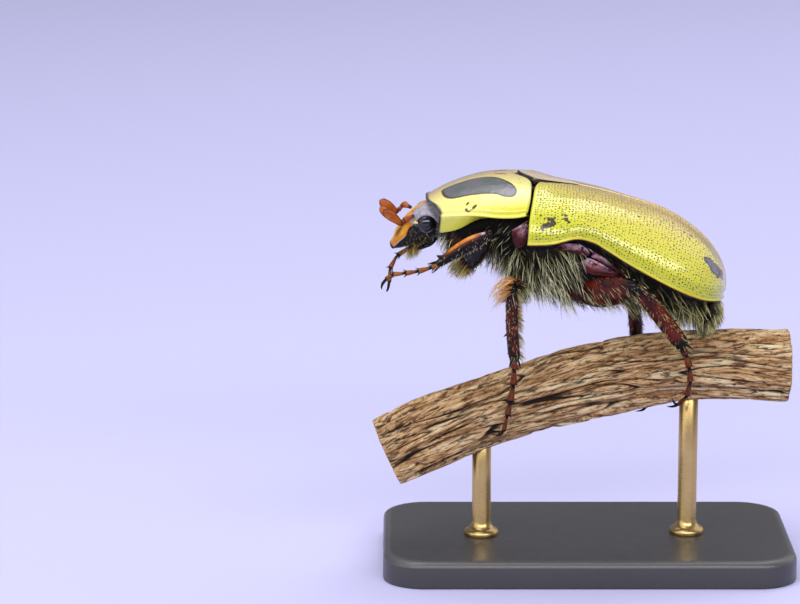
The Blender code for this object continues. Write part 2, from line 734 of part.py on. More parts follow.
def build_antenna(side, base, elbow, wrist, club_tip, fan):
    """A stalk and a club of three leaves, given like the legs' joints."""
    base, elbow, wrist, club_tip = (BODY_AT + Vector(p) for p in (base, elbow, wrist, club_tip))
    stalk_path = [base, elbow, elbow.lerp(wrist, 0.5), wrist]
    stalk_sizes = [(0.32, 0.32), (0.27, 0.27), (0.27, 0.27), (0.3, 0.3)]
    stalk = make_object(f"antenna_{side}", *tube(stalk_path, stalk_sizes, sides=6), "antenna_orange")
    club_lie, length = (club_tip - wrist).normalized(), (club_tip - wrist).length
    leaves = []
    spread = Vector(fan).cross(club_lie).normalized()
    apart = club_lie.cross(spread)
    for k, turn in enumerate((-20.0, 2.0, 24.0)):
        lie = Matrix.Rotation(math.radians(turn), 3, spread) @ club_lie
        root = wrist + apart * (0.16 * (1 - k)) + spread * (0.05 * (k - 1))
        path = [root + lie * (length * s) for s in (-0.1 - 0.02 * k, 0.3, 0.65, 1.0 - 0.03 * k)]
        sizes = [(0.28, 0.22), (0.5, 0.25), (0.55, 0.25), (0.27, 0.2)]
        leaves.append(make_object(
            f"antenna_{side}_leaf_{k}", *tube(path, sizes, sides=6, across=spread), "antenna_orange",
        ))
    combine(stalk, leaves, "UNION")
    return stalk


def build_antennae():
    fan = (0.1, 1.0, 0.2)
    left = ((7.81, 1.75, -2.98), (8.5, 2.1, -3.3), (8.72, 2.3, -3.45), (10.2, 2.5, -2.2))
    right = ((8.0, -1.75, -2.98), (8.5, -2.35, -2.85), (9.05, -2.4, -3.45), (10.25, -2.5, -2.6))
    return [build_antenna("left", *left, fan), build_antenna("right", *right, fan)]


# Legs, given by the places of their joints from the body's origin along the stand frame's axes


LEGS = {
    "front_left": {
        "hip": (4.3, 1.7, -6.3), "knee": (2.1, 5.6, -3.75), "ankle": (6.0, 5.45, -5.75),
        "foot": [
            (6.5, 5.4, -6.05), (7.5, 5.3, -6.35), (8.4, 5.2, -6.5), (9.3, 5.1, -6.6), (9.75, 5.1, -6.95),
        ],
        "claws": (0.5, 0.0, -1.0),
        "femur": (0.85, 0.55), "tibia": (0.42, 0.34, 0.6), "across": (0.3, 0.0, 1.0),
    },
    "front_right": {
        "hip": (4.3, -1.7, -6.3), "knee": (2.6, -5.4, -4.4), "ankle": (6.4, -4.3, -5.6),
        "foot": [
            (6.9, -4.1, -5.9), (7.8, -3.7, -6.2), (9.0, -3.2, -6.9), (9.5, -3.0, -7.8), (9.55, -2.9, -8.8),
        ],
        "claws": (0.3, 0.1, -1.0),
        "femur": (0.85, 0.55), "tibia": (0.42, 0.34, 0.6), "across": (0.3, 0.0, 1.0),
    },
    "middle_left": {
        "hip": (0.3, 2.6, -7.8), "knee": (0.75, 6.4, -7.4), "ankle": (0.55, 5.4, -12.7),
        "foot": [
            (0.55, 5.1, -13.5), (0.6, 4.7, -14.8), (0.8, 4.4, -16.1), (1.0, 4.15, -17.2), (1.25, 3.95, -18.4),
        ],
        "claws": (0.9, -0.5, -0.4),
        "femur": (0.8, 0.55), "tibia": (0.4, 0.36, 0.5), "across": (1.0, 0.0, 0.0),
    },
    "middle_right": {
        "hip": (0.1, -2.6, -7.8), "knee": (0.3, -6.4, -7.4), "ankle": (0.4, -4.7, -12.5),
        "foot": [
            (0.4, -4.3, -13.2), (0.4, -3.7, -14.5), (0.45, -3.1, -15.9),
            (0.5, -2.6, -17.1), (0.5, -2.3, -18.2),
        ],
        "claws": (0.9, 0.5, -0.4),
        "femur": (0.8, 0.55), "tibia": (0.4, 0.36, 0.5), "across": (1.0, 0.0, 0.0),
    },
    "hind_left": {
        "hip": (-3.9, 2.6, -8.5), "knee": (-8.0, 5.7, -7.4), "ankle": (-11.45, 5.3, -11.75),
        "foot": [
            (-11.75, 5.0, -12.45), (-12.05, 4.6, -13.5), (-12.2, 4.1, -14.7),
            (-12.0, 3.5, -15.9), (-11.5, 2.6, -16.75),
        ],
        "claws": (0.9, -0.6, 0.0),
        "femur": (0.98, 0.6), "tibia": (0.5, 0.42, 0.64), "across": (0.0, 0.3, 1.0),
    },
    "hind_right": {
        "hip": (-3.9, -2.6, -8.5), "knee": (-8.3, -5.5, -8.2), "ankle": (-8.9, -4.7, -13.5),
        "foot": [
            (-9.0, -4.4, -14.2), (-9.15, -3.8, -15.3), (-9.3, -3.1, -16.4),
            (-9.4, -2.0, -17.3), (-9.4, -0.8, -17.75),
        ],
        "claws": (0.9, 0.6, 0.1),
        "femur": (0.98, 0.6), "tibia": (0.5, 0.42, 0.64), "across": (0.0, -0.3, 1.0),
    },
}
COXAE = {
    "front": ((3.1, 1.35, -6.0), (0.95, 1.05, 1.15)),
    "middle": ((-1.7, 1.75, -7.05), (1.1, 1.35, 0.8)),
    "hind": ((-5.75, 2.2, -7.1), (1.1, 2.1, 0.8)),
}


def build_leg(name, leg):
    """The femur, tibia and tarsus of one leg, each a tube along its own stretch, with spurs and claws."""
    hip, knee, ankle = (BODY_AT + Vector(leg[k]) for k in ("hip", "knee", "ankle"))
    foot = [BODY_AT + Vector(p) for p in leg["foot"]]
    broad, thick = leg["femur"]
    thigh = (knee - hip).normalized()
    start, end = hip + thigh * 0.25, knee - thigh * 0.15
    path = [start.lerp(end, s) for s in (0.0, 0.2, 0.45, 0.7, 0.88, 1.0)]
    sizes = [(broad * w, thick * (0.45 + 0.55 * w)) for w in (0.6, 0.85, 1.0, 0.9, 0.68, 0.5)]
    femur = make_object(f"femur_{name}", *tube(path, sizes, sides=10, across=leg["across"]), "leg_brown")
    shin = (ankle - knee).normalized()
    narrow, thin, wide = leg["tibia"]
    start, end = knee + shin * 0.95, ankle - shin * 0.1
    path = [start.lerp(end, s) for s in (0.0, 0.12, 0.5, 0.86, 1.0)]
    middle = (0.5 * (narrow + wide), thin * 1.05)
    sizes = [(0.3, 0.28), (narrow, thin), middle, (wide, thin * 1.15), (wide * 0.85, thin)]
    tibia = make_object(f"tibia_{name}", *tube(path, sizes, sides=8, across=leg["across"]), "leg_brown")
    outward = Vector(leg["across"]) - shin * Vector(leg["across"]).dot(shin)
    outward.normalize()
    spikes = [
        (end, shin + outward * 0.35, 0.8),
        (end, shin - outward * 0.45, 0.7),
        (start.lerp(end, 0.62), outward + shin * 0.5, 0.95),
    ]
    teeth = []
    for k, (root, lie, length) in enumerate(spikes):
        lie = lie.normalized()
        path = [root - lie * 0.25, root + lie * (0.45 * length), root + lie * length]
        tooth = tube(path, [(0.25, 0.25), (0.18, 0.18), (0.06, 0.06)], 5, round_ends=False)
        teeth.append(make_object(f"tooth_{k}", *tooth, "leg_brown"))
    combine(tibia, teeth, "UNION")
    first = ankle + (foot[0] - ankle).normalized() * 0.55
    joints = [first] + foot
    path, sizes = [], []
    for k, (low, high) in enumerate(zip(joints, joints[1:])):
        path += [low.lerp(high, 0.04 if k else 0.0), low.lerp(high, 0.88)]
        sizes += [(0.25, 0.25), (0.33, 0.31)]
    path.append(joints[-1])
    sizes.append((0.27, 0.27))
    tarsus = make_object(f"tarsus_{name}", *tube(path, sizes, sides=6, across=leg["across"]), "leg_brown")
    last = (path[-1] - path[-2]).normalized()
    hook = Vector(leg["claws"]).normalized()
    sideways = last.cross(hook).normalized()
    claws = []
    for k, sign in enumerate((1.0, -1.0)):
        out = (hook + sideways * (0.55 * sign)).normalized()
        tip = path[-1]
        claw_path = [tip - last * 0.2, tip + out * 0.45 + last * 0.15, tip + out * 0.95 - last * 0.05]
        claw = tube(claw_path, [(0.22, 0.22), (0.18, 0.18), (0.05, 0.05)], 5, round_ends=False)
        claws.append(make_object(f"claw_{k}", *claw, "leg_brown"))
    combine(tarsus, claws, "UNION")
    return {"femur": femur, "tibia": tibia, "tarsus": tarsus}


def smooth_path(points, steps):
    """A Catmull-Rom curve through the points, with steps stretches between each two."""
    made = []
    for k in range(len(points) - 1):
        before = points[max(k - 1, 0)]
        a, b = points[k], points[k + 1]
        after = points[min(k + 2, len(points) - 1)]
        for i in range(steps):
            t = i / steps
            made.append(
                0.5 * (2 * a + (b - before) * t + (2 * before - 5 * a + 4 * b - after) * t * t
                       + (3 * a - before - 3 * b + after) * t**3)
            )
    made.append(points[-1])
    return made


def hip_rooms(name):
    """Rooms round one leg's coxa and femur."""
    place, side = name.split("_")
    centre, radii = COXAE[place]
    centre = Vector((centre[0], centre[1] * (1 if side == "left" else -1), centre[2]))
    points, faces = ellipsoid(centre, [1.1 * r + GAP for r in radii], 4, 8)
    coxa = ([body_to_stand() @ p for p in points], faces)
    leg = LEGS[name]
    hip, knee = BODY_AT + Vector(leg["hip"]), BODY_AT + Vector(leg["knee"])
    broad, thick = (1.12 * size + GAP for size in leg["femur"])
    shares = ((-0.15, 0.75), (0.25, 1.0), (0.7, 1.0), (1.1, 0.8))
    path = [hip.lerp(knee, share) for share, _ in shares]
    femur = tube(path, [(broad * w, thick * w) for _, w in shares], 6, leg["across"], round_ends=False)
    return [coxa, femur]


def build_coxae():
    made = {}
    for place, (centre, radii) in COXAE.items():
        for side, sign in (("left", 1.0), ("right", -1.0)):
            at = (centre[0], centre[1] * sign, centre[2])
            shape = ellipsoid(at, radii, 5, 9)
            coxa = make_object(f"coxa_{place}_{side}", *shape, "leg_brown", body_to_stand())
            made[f"{place}_{side}"] = coxa
    return made


# Branch and stand


def perch_frames():
    """Places along the branch with the two directions across it."""
    line = smooth_path([Vector(p) for p in PERCH_LINE], 3)
    frames = []
    for k, place in enumerate(line):
        heading = (line[min(k + 1, len(line) - 1)] - line[max(k - 1, 0)]).normalized()
        side = Vector((0.0, 1.0, 0.0))
        side = (side - heading * side.dot(heading)).normalized()
        frames.append((place, side, side.cross(heading)))
    return frames


def build_perch():
    sides = 16
    rings = []
    frames = perch_frames()
    for k, (place, side, up) in enumerate(frames):
        ring = []
        for i in range(sides):
            turn = 2 * math.pi * i / sides
            radius = PERCH_RADIUS * (1.0 + 0.03 * math.sin(0.9 * k))
            for ridges, height in PERCH_RIDGES:
                twist = 0.35 * k * (1 if ridges % 2 else -1) + ridges
                radius += height * math.sin(ridges * turn + twist)
            ring.append(place + side * (radius * math.cos(turn)) + up * (radius * math.sin(turn)))
        rings.append(ring)
    return make_object("perch", *loft(rings), "bark")


def build_stand():
    half_x, half_y = BASE_SIZE[0] / 2, BASE_SIZE[1] / 2
    outline = []
    for corner in range(4):
        centre = Vector((
            (half_x - BASE_CORNER) * (1 if corner in (0, 3) else -1),
            (half_y - BASE_CORNER) * (1 if corner in (0, 1) else -1), 0.0,
        ))
        for k in range(6):
            turn = math.pi / 2 * (corner + k / 5)
            outline.append(centre + Vector((math.cos(turn), math.sin(turn), 0.0)) * BASE_CORNER)
    rings = []
    for z, inset in ((0.0, 0.0), (BASE_SIZE[2] - BASE_BEVEL, 0.0), (BASE_SIZE[2], BASE_BEVEL)):
        rings.append([Vector((p.x * (1 - inset / half_x), p.y * (1 - inset / half_y), z)) for p in outline])
    make_object("stand_base", *loft(rings), "stand_base")
    rods = []
    line = [frame[0] for frame in perch_frames()]
    for k, x in enumerate(ROD_XS):
        at = min(line, key=lambda p: abs(p.x - x))
        low = Vector((at.x, at.y, BASE_SIZE[2] + GAP))
        high = Vector((at.x, at.y, at.z - PERCH_RADIUS + ROD_SINK))
        rod = tube([low, high], [(ROD_RADIUS, ROD_RADIUS)] * 2, 14, (1, 0, 0), round_ends=False)
        rods.append(make_object(f"stand_rod_{k + 1}", *rod, "stand_rod"))
    return rods


def coat_roots(ring_at, rows, size):
    """Lock roots in staggered rows on both sides of a body ring, in the stand frame."""
    roots = []
    for xs, turns, lie in rows:
        for row, x in enumerate(xs):
            for turn in turns:
                at_turn = turn + (5 if row % 2 else -5)
                place, normal = surface_point(ring_at, x, at_turn)
                outward = lie[1] * math.cos(math.radians(at_turn))
                for sign in (1.0, -1.0):
                    mirror = Vector((1.0, sign, 1.0))
                    lying = Vector((lie[0], outward * sign, lie[2]))
                    roots.append((place * mirror, normal * mirror, lying, *size))
    return in_stand(roots)


def coxa_roots(name):
    """Lock roots under one leg's coxa, in the stand frame."""
    place, side = name.split("_")
    sign = 1.0 if side == "left" else -1.0
    centre, radii = (Vector(v) for v in COXAE[place])
    roots = []
    for across, ahead in ((-0.45, 0.35), (-0.3, -0.45), (0.25, 0.4), (0.35, -0.3), (0.75, 0.1)):
        way = Vector((ahead, across, -0.9)).normalized()
        normal = Vector([a / b for a, b in zip(way, radii)]).normalized()
        mirror = Vector((1.0, sign, 1.0))
        lie = Vector((-0.75, 0.1 * sign, -0.65))
        roots.append(((centre + way * radii) * mirror, normal * mirror, lie, *CHEST_LOCK))
    return in_stand(roots)


def femur_roots(name):
    """Lock roots under one femur, with a brush before the middle knee, in the stand frame."""
    leg, place = LEGS[name], name.split("_")[0]
    low, high = BODY_AT + Vector(leg["hip"]), BODY_AT + Vector(leg["knee"])
    thigh = (high - low).normalized()
    rows = [(Vector((-0.4, 0.0, -1.0)), Vector((-0.5, 0.0, -0.85)), LEG_LOCK)]
    if place == "middle":
        rows.append((Vector((1.0, 0.0, -0.3)), Vector((0.25, 0.0, -1.0)), BRUSH_LOCK))
    roots = []
    for facing, lie, size in rows:
        normal = (facing - thigh * facing.dot(thigh)).normalized()
        broad = Vector(leg["across"]) - thigh * Vector(leg["across"]).dot(thigh)
        share = abs(normal.dot(broad.normalized()))
        reach = share * leg["femur"][0] + (1.0 - share) * leg["femur"][1]
        for along_leg in FRINGES[place]:
            root = low.lerp(high, along_leg) + normal * (0.8 * reach)
            roots.append((root, normal, lie.normalized(), *size))
    return roots


def grow_coats(nodes, rng):
    """Grows every coat of hair, each lock clear of all the nodes and locks that are already there."""
    coats = [
        ("thorax", coat_roots(thorax_ring, THORAX_ROWS, BODY_LOCK)),
        ("abdomen", coat_roots(abdomen_ring, ABDOMEN_ROWS, TAIL_LOCK)),
        ("prosternum", coat_roots(chest_ring, CHEST_ROWS, CHEST_LOCK)),
    ]
    coats += [(f"coxa_{name}", coxa_roots(name)) for name in LEGS if not name.startswith("front")]
    coats += [(f"femur_{name}", femur_roots(name)) for name in LEGS]
    for name, roots in coats:
        others = [other for other in nodes.values() if other.name != name]
        grow_locks(nodes[name], roots, others, rng)


def main():
    for old in list(bpy.data.objects):
        bpy.data.objects.remove(old)
    rng = random.Random(SEED)
    elytra = build_elytra()
    build_scutellum()
    pronotum = build_pronotum()
    plates = build_side_plates()
    thorax, abdomen, chest = build_cores()
    pygidium = build_pygidium()
    head, eyes, mouth = build_head(rng)
    antennae = build_antennae()
    coxae = build_coxae()
    legs = {name: build_leg(name, leg) for name, leg in LEGS.items()}
    femora = {name: leg["femur"] for name, leg in legs.items()}
    perch = build_perch()
    rods = build_stand()

    hips = {place: [f"{place}_left", f"{place}_right"] for place in COXAE}
    shells = [elytra["left"], elytra["right"]]
    for name, leg in legs.items():
        clear(leg["femur"], [leg["tibia"]])
    for plate in plates:
        clear(plate, shells + [pronotum])
    for name, coxa in coxae.items():
        clear(coxa, [femora[name]])
    rooms = {place: hip_rooms(hips[place][0]) + hip_rooms(hips[place][1]) for place in COXAE}
    clear(thorax, plates, rooms["middle"] + rooms["hind"])
    clear(chest, [], rooms["front"])
    clear(head, [pronotum, chest] + eyes + antennae)
    clear(pygidium, shells)
    clear(abdomen, [pygidium] + plates, rooms["hind"])
    clear(perch, rods)

    grow_coats({node.name: node for node in bpy.data.objects if node.type == "MESH"}, rng)


main()
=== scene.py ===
"""The visible model of a life-size flower chafer on a cut length of branch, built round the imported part.

Lengths in this file are millimetres until make_piece turns them into metres. The body frame has +X towards
the head, +Y to the beetle's left and +Z up, with its origin on the back at the middle of the pronotum's
rear edge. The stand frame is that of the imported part, in millimetres.
"""

import math
from typing import NamedTuple

import bpy
import numpy as np
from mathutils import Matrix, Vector, noise


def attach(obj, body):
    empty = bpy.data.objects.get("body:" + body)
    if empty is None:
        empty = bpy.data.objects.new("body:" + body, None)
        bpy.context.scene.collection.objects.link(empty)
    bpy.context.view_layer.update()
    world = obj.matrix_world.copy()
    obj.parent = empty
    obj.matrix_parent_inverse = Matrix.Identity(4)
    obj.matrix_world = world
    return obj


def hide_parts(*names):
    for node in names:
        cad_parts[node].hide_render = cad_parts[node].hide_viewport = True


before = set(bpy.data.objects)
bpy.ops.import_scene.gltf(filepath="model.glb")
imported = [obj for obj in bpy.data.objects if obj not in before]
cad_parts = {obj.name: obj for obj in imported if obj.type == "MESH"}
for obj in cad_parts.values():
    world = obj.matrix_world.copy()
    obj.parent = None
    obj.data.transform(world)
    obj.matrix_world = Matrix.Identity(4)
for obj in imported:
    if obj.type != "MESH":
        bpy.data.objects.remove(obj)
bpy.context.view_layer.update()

MM = 0.001
PER_METRE = 1000

# how the body is held over the stand
BODY_AT = np.array((5.0, 0.0, 29.0))
BODY_PITCH = math.radians(14.0)

# elytra, in the body frame
SHELL = 0.45
ELYTRON_FRONT = -1.3
ELYTRON_FRONT_BOW = 0.32
ELYTRON_REAR = -16.55
CREST_Z = 0.0
APEX_Z = -5.0
CREST_DROP_FROM = -8.3
WIDEST_REAR = 5.6
TAPER_FROM = -11.0
TAPER_POWER = 2.3
SECTION_POWER = 2.25
HALF_WIDTH = ((-11.0, 5.6), (-8.5, 5.65), (-6.0, 5.65), (-4.0, 6.05), (-1.5, 5.95))
CREST = ((-8.3, 0.0), (-6.3, 0.1), (-4.3, 0.06), (-1.0, 0.0))
MARGIN_Z = (
    (-16.55, -5.35), (-15.0, -5.32), (-13.0, -4.95), (-10.8, -4.42), (-8.6, -3.8),
    (-7.0, -3.27), (-5.9, -2.93), (-4.6, -2.92), (-3.0, -3.7), (-1.35, -4.2),
)
SUTURE_HALF_GAP = 0.02
SHOULDER_BUMP = (-2.9, 4.3, 0.9, 0.22)  # place along and across, radius and height
APICAL_BUMP = (-13.9, 3.0, 1.1, 0.2)
ELYTRON_GRID = (250, 190)

# pronotum
PRONOTUM_FRONT = 6.3
PRONOTUM_FRONT_SWEEP = 1.12
PRONOTUM_REAR = -0.84
PRONOTUM_REAR_SWEEP = 0.03
NOTCH_DEPTH = 1.25
NOTCH_HALF_WIDTH = 1.3
PRONOTUM_WALL = 0.65
PRONOTUM_WIDEST = 5.3
PRONOTUM_HALF_WIDTH = ((-1.5, 5.3), (0.0, 5.25), (2.0, 4.75), (4.0, 3.85), (6.1, 2.6))
PRONOTUM_CREST = ((-1.5, 0.0), (0.0, -0.13), (1.7, -0.53), (3.4, -1.27), (5.07, -2.38), (6.3, -3.5))
PRONOTUM_SIDE_Z = (
    (-0.7, -2.2), (0.0, -2.5), (1.2, -2.85), (2.5, -3.12), (3.6, -3.48), (4.9, -4.0), (6.1, -4.5),
)
FLANGE_DEPTH = ((-1.0, 0.03), (1.0, 0.2), (2.4, 0.55), (3.6, 1.3), (4.8, 1.5), (6.1, 1.5))
FLANGE_INWARD = ((-1.0, 0.2), (0.6, 0.9), (2.0, 0.9), (3.4, 0.5), (6.1, 0.4))

# scutellum
SCUTELLUM_TIP = -4.35
SCUTELLUM_CORNER_X = -1.05
SCUTELLUM_HALF_WIDTH = 1.75
SCUTELLUM_POWER = 1.15
SCUTELLUM_GAP = 0.13
SCUTELLUM_RINGS = (  # share of the outline, and how far below the crest of the back
    (0.9, 0.7), (1.0, 0.68), (1.0, 0.2), (0.995, 0.12), (0.98, 0.07), (0.955, 0.04), (0.92, 0.03),
    (0.87, 0.035), (0.8, 0.03), (0.7, 0.015), (0.55, 0.0), (0.4, -0.01), (0.25, -0.015), (0.1, -0.02),
)

# plates at the side of the thorax: their outlines on the left (x, z), their place across and their bulge
MESEPIMERON = (
    (
        (0.04, -3.46), (-0.53, -2.9), (-1.05, -2.4), (-1.25, -3.1), (-1.28, -3.86), (-1.1, -4.5),
        (-0.75, -4.65), (-0.25, -4.15),
    ), 5.2, 0.28,
)
METEPIMERA = (
    ((
        (-3.1, -4.1), (-3.6, -3.68), (-4.14, -3.4), (-4.8, -3.26), (-5.35, -3.32), (-5.85, -3.62),
        (-5.95, -3.85), (-5.7, -4.02), (-4.88, -4.08), (-4.05, -4.0), (-3.5, -4.15),
    ), 5.25, 0.25),
    ((
        (-5.15, -4.72), (-5.45, -4.36), (-5.8, -4.08), (-6.5, -4.16), (-7.4, -4.42), (-8.3, -4.75),
        (-8.75, -4.88), (-8.05, -4.98), (-7.3, -5.1), (-6.2, -5.2), (-5.5, -5.0),
    ), 5.2, 0.25),
    ((
        (-5.45, -3.36), (-5.95, -3.5), (-6.5, -3.66), (-7.06, -3.86), (-7.75, -4.2), (-8.9, -4.72),
        (-8.9, -4.8), (-7.6, -4.44), (-6.6, -4.12), (-5.95, -3.98), (-6.0, -3.72),
    ), 5.22, 0.1),
)
SCUTE_RINGS = (  # share of the outline, how far it stands out where the bulge is 0.25, and darkness
    (0.3, -0.5, 1), (0.8, -0.5, 1), (0.96, -0.25, 1), (1.0, -0.12, 1), (0.985, -0.05, 1), (0.955, 0.0, 0.8),
    (0.92, 0.02, 0.4), (0.88, 0.01, 0.1), (0.83, 0.0, 0), (0.75, 0.04, 0), (0.62, 0.11, 0), (0.48, 0.17, 0),
    (0.34, 0.21, 0), (0.2, 0.24, 0), (0.07, 0.25, 0),
)
# how strong the painted lilac sheen is on the upper parts of the side plates
SCUTE_PAINTED_SHEEN = 0.75

# pygidium, the last plate of the back, from its upper edge at 0 to its lower one at 1
PYGIDIUM_HALF_WIDTH = ((0.0, 3.0), (0.3, 2.9), (0.65, 2.3), (1.0, 1.0))
PYGIDIUM_X = ((0.0, -15.3), (0.3, -15.45), (0.65, -15.35), (1.0, -14.9))
PYGIDIUM_TOP = -5.65
PYGIDIUM_HEIGHT = 1.9
PYGIDIUM_BOW = 0.48
PYGIDIUM_WALL = 0.4

# body under the shells
UNDER_SHELL = 0.95
BELLY_Z = (
    (-17.0, -5.9), (-16.0, -6.6), (-14.5, -7.2), (-11.0, -7.5), (-7.0, -7.65), (-3.0, -7.6), (-0.5, -7.0),
)
CHEST_Z = ((-0.5, -6.6), (2.0, -6.5), (4.9, -5.7))
THORAX_SPAN = (-0.85, -7.1)
ABDOMEN_SPAN = (-7.4, -15.6)
PROSTERNUM_SPAN = (4.9, -0.5)
STERNITES = 6
SKIN_VOXEL = 0.11
SKIN_SMOOTHING = 5
SKIN_MAP_REAR = -17.5
SKIN_MAP_LENGTH = 26.0
NECK = ((5.0, 0, -4.3), (1.1, 1.3, 1.0))
COXAE = {  # centre and radii of each left hip
    "front": ((3.1, 1.35, -6.0), (0.95, 1.05, 1.15)),
    "middle": ((-1.7, 1.75, -7.05), (1.1, 1.35, 0.8)),
    "hind": ((-5.75, 2.2, -7.1), (1.1, 2.1, 0.8)),
}

# head, along its own axis from the neck to the front of the clypeus, where its front edge is turned down
HEAD_AT = (6.0, 0.0, -3.45)
HEAD_DIP = math.radians(64.0)
HEAD_LENGTH = 4.4
HEAD_HALF_WIDTH = ((0.0, 1.55), (0.9, 2.0), (1.7, 1.75), (2.3, 1.5), (3.2, 1.55), (4.0, 1.45), (4.4, 1.15))
HEAD_DEPTH = ((0.0, 2.3), (1.0, 2.75), (2.0, 2.6), (3.0, 1.95), (4.0, 0.95), (4.4, 0.4))
HEAD_TOP = (
    (0.0, -0.14), (0.7, 0.1), (1.35, 0.26), (1.9, 0.33), (2.6, 0.36), (3.3, 0.28), (4.0, 0.1), (4.4, -0.08),
)
CHEEK_LINE = ((0.6, 0.2), (1.2, 0.42), (2.5, 0.42), (3.1, 0.26), (4.4, 0.2))
HEAD_GRID = (170, 200)
FRONT_TILTS = (0.25, 0.5, 0.72, 0.88, 0.97)
EYE_AT = (1.36, 1.84, -0.86)
EYE_RADII = (0.73, 0.62, 0.71)
MOUTH_PALPS = (
    ((2.5, 0.75, -2.95), (2.9, 0.95, -3.15), (3.25, 0.95, -3.05), (3.6, 0.85, -2.8)),
    ((2.9, 0.3, -2.8), (3.2, 0.38, -2.9), (3.5, 0.34, -2.75), (3.7, 0.3, -2.6)),
)

# antennae: base, elbow, wrist and club tip from the body's origin along the stand frame's axes
ANTENNAE = {
    "left": ((7.81, 1.75, -2.98), (8.5, 2.1, -3.3), (8.72, 2.3, -3.45), (10.2, 2.5, -2.2)),
    "right": ((8.0, -1.75, -2.98), (8.5, -2.35, -2.85), (9.05, -2.4, -3.45), (10.25, -2.5, -2.6)),
}
LEAF_ANGLES = (-24.0, 2.0, 27.0)
LEAF_SIZES = (  # half breadth and half thickness
    (0.1, 0.1), (0.2, 0.11), (0.31, 0.13), (0.36, 0.13), (0.3, 0.11), (0.12, 0.07),
)

# legs, given by the places of their joints from the body's origin along the stand frame's axes; claws is the
# way in which the claws point, and across the way in which the breadth of the limbs is measured
LEGS = {
    "front_left": {
        "hip": (4.5, 1.7, -6.6), "knee": (2.4, 5.6, -3.6), "ankle": (6.0, 5.45, -5.75),
        "foot": [
            (6.5, 5.4, -6.05), (7.5, 5.3, -6.35), (8.4, 5.2, -6.5), (9.3, 5.1, -6.6), (9.75, 5.1, -6.95),
        ],
        "claws": (0.5, 0.0, -1.0), "across": (0.3, 0.0, 1.0),
    },
    "front_right": {
        "hip": (4.3, -1.7, -6.3), "knee": (2.6, -5.4, -4.4), "ankle": (6.4, -4.3, -5.6),
        "foot": [
            (6.9, -4.1, -5.9), (7.8, -3.7, -6.2), (9.0, -3.2, -6.9), (9.5, -3.0, -7.8), (9.55, -2.9, -8.8),
        ],
        "claws": (0.3, 0.1, -1.0), "across": (0.3, 0.0, 1.0),
    },
    "middle_left": {
        "hip": (0.3, 2.6, -7.8), "knee": (0.75, 6.4, -7.4), "ankle": (0.55, 5.4, -12.7),
        "foot": [
            (0.55, 5.1, -13.5), (0.6, 4.7, -14.8), (0.8, 4.4, -16.1), (1.0, 4.15, -17.2), (1.25, 3.95, -18.4),
        ],
        "claws": (0.9, -0.5, -0.4), "across": (1.0, 0.0, 0.0),
    },
    "middle_right": {
        "hip": (0.1, -2.6, -7.8), "knee": (0.3, -6.4, -7.4), "ankle": (0.4, -4.7, -12.5),
        "foot": [
            (0.4, -4.3, -13.2), (0.4, -3.7, -14.5), (0.45, -3.1, -15.9),
            (0.5, -2.6, -17.1), (0.5, -2.3, -18.2),
        ],
        "claws": (0.9, 0.5, -0.4), "across": (1.0, 0.0, 0.0),
    },
    "hind_left": {
        "hip": (-3.9, 2.6, -8.5), "knee": (-8.0, 5.7, -7.4), "ankle": (-11.45, 5.3, -11.75),
        "foot": [
            (-11.75, 5.0, -12.45), (-12.05, 4.6, -13.5), (-12.2, 4.1, -14.7),
            (-12.0, 3.5, -15.9), (-11.5, 2.6, -16.75),
        ],
        "claws": (0.9, -0.6, 0.0), "across": (0.0, 0.3, 1.0),
    },
    "hind_right": {
        "hip": (-3.9, -2.6, -8.5), "knee": (-8.3, -5.5, -8.2), "ankle": (-8.9, -4.7, -13.5),
        "foot": [
            (-9.0, -4.4, -14.2), (-9.15, -3.8, -15.3), (-9.3, -3.1, -16.4),
            (-9.4, -2.0, -17.3), (-9.4, -0.8, -17.75),
        ],
        "claws": (0.9, 0.6, 0.1), "across": (0.0, -0.3, 1.0),
    },
}
# half breadth and half thickness of the limbs, at their thickest or from one end to the other
FEMUR_SIZE = {"front": (1.08, 0.6), "middle": (0.8, 0.55), "hind": (1.28, 0.65)}
FEMUR_SWELL = {
    "front": (0.42, 0.68, 0.95, 1.0, 0.8, 0.45, 0.25), "middle": (0.42, 0.68, 0.95, 1.0, 0.86, 0.6, 0.44),
    "hind": (0.42, 0.68, 0.95, 1.0, 0.86, 0.6, 0.44),
}
TIBIA_BREADTH = {
    "front": (0.22, 0.3, 0.44, 0.5, 0.45, 0.34, 0.26), "middle": (0.26, 0.33, 0.41, 0.44, 0.43, 0.43, 0.36),
    "hind": (0.34, 0.46, 0.56, 0.6, 0.63, 0.62, 0.5),
}
TIBIA_THICKNESS = {"front": 0.34, "middle": 0.36, "hind": 0.42}
TIBIA_TEETH = {  # place along the shin, thickness of the root and length
    "front": ((0.9, 0.5, 0.42), (0.72, 0.42, 0.36), (0.54, 0.3, 0.3)),
    "other": ((0.62, 0.32, 0.55), (0.9, 0.2, 0.3)),
}
THORN_TURNS = (0.5, 2.6, 3.7, 5.5)

# rounded ends of the limbs, and the least thickness of one
END_TILTS = (0.25, 0.55, 0.8, 0.95)
END_REACH = 0.7
THINNEST = 0.002

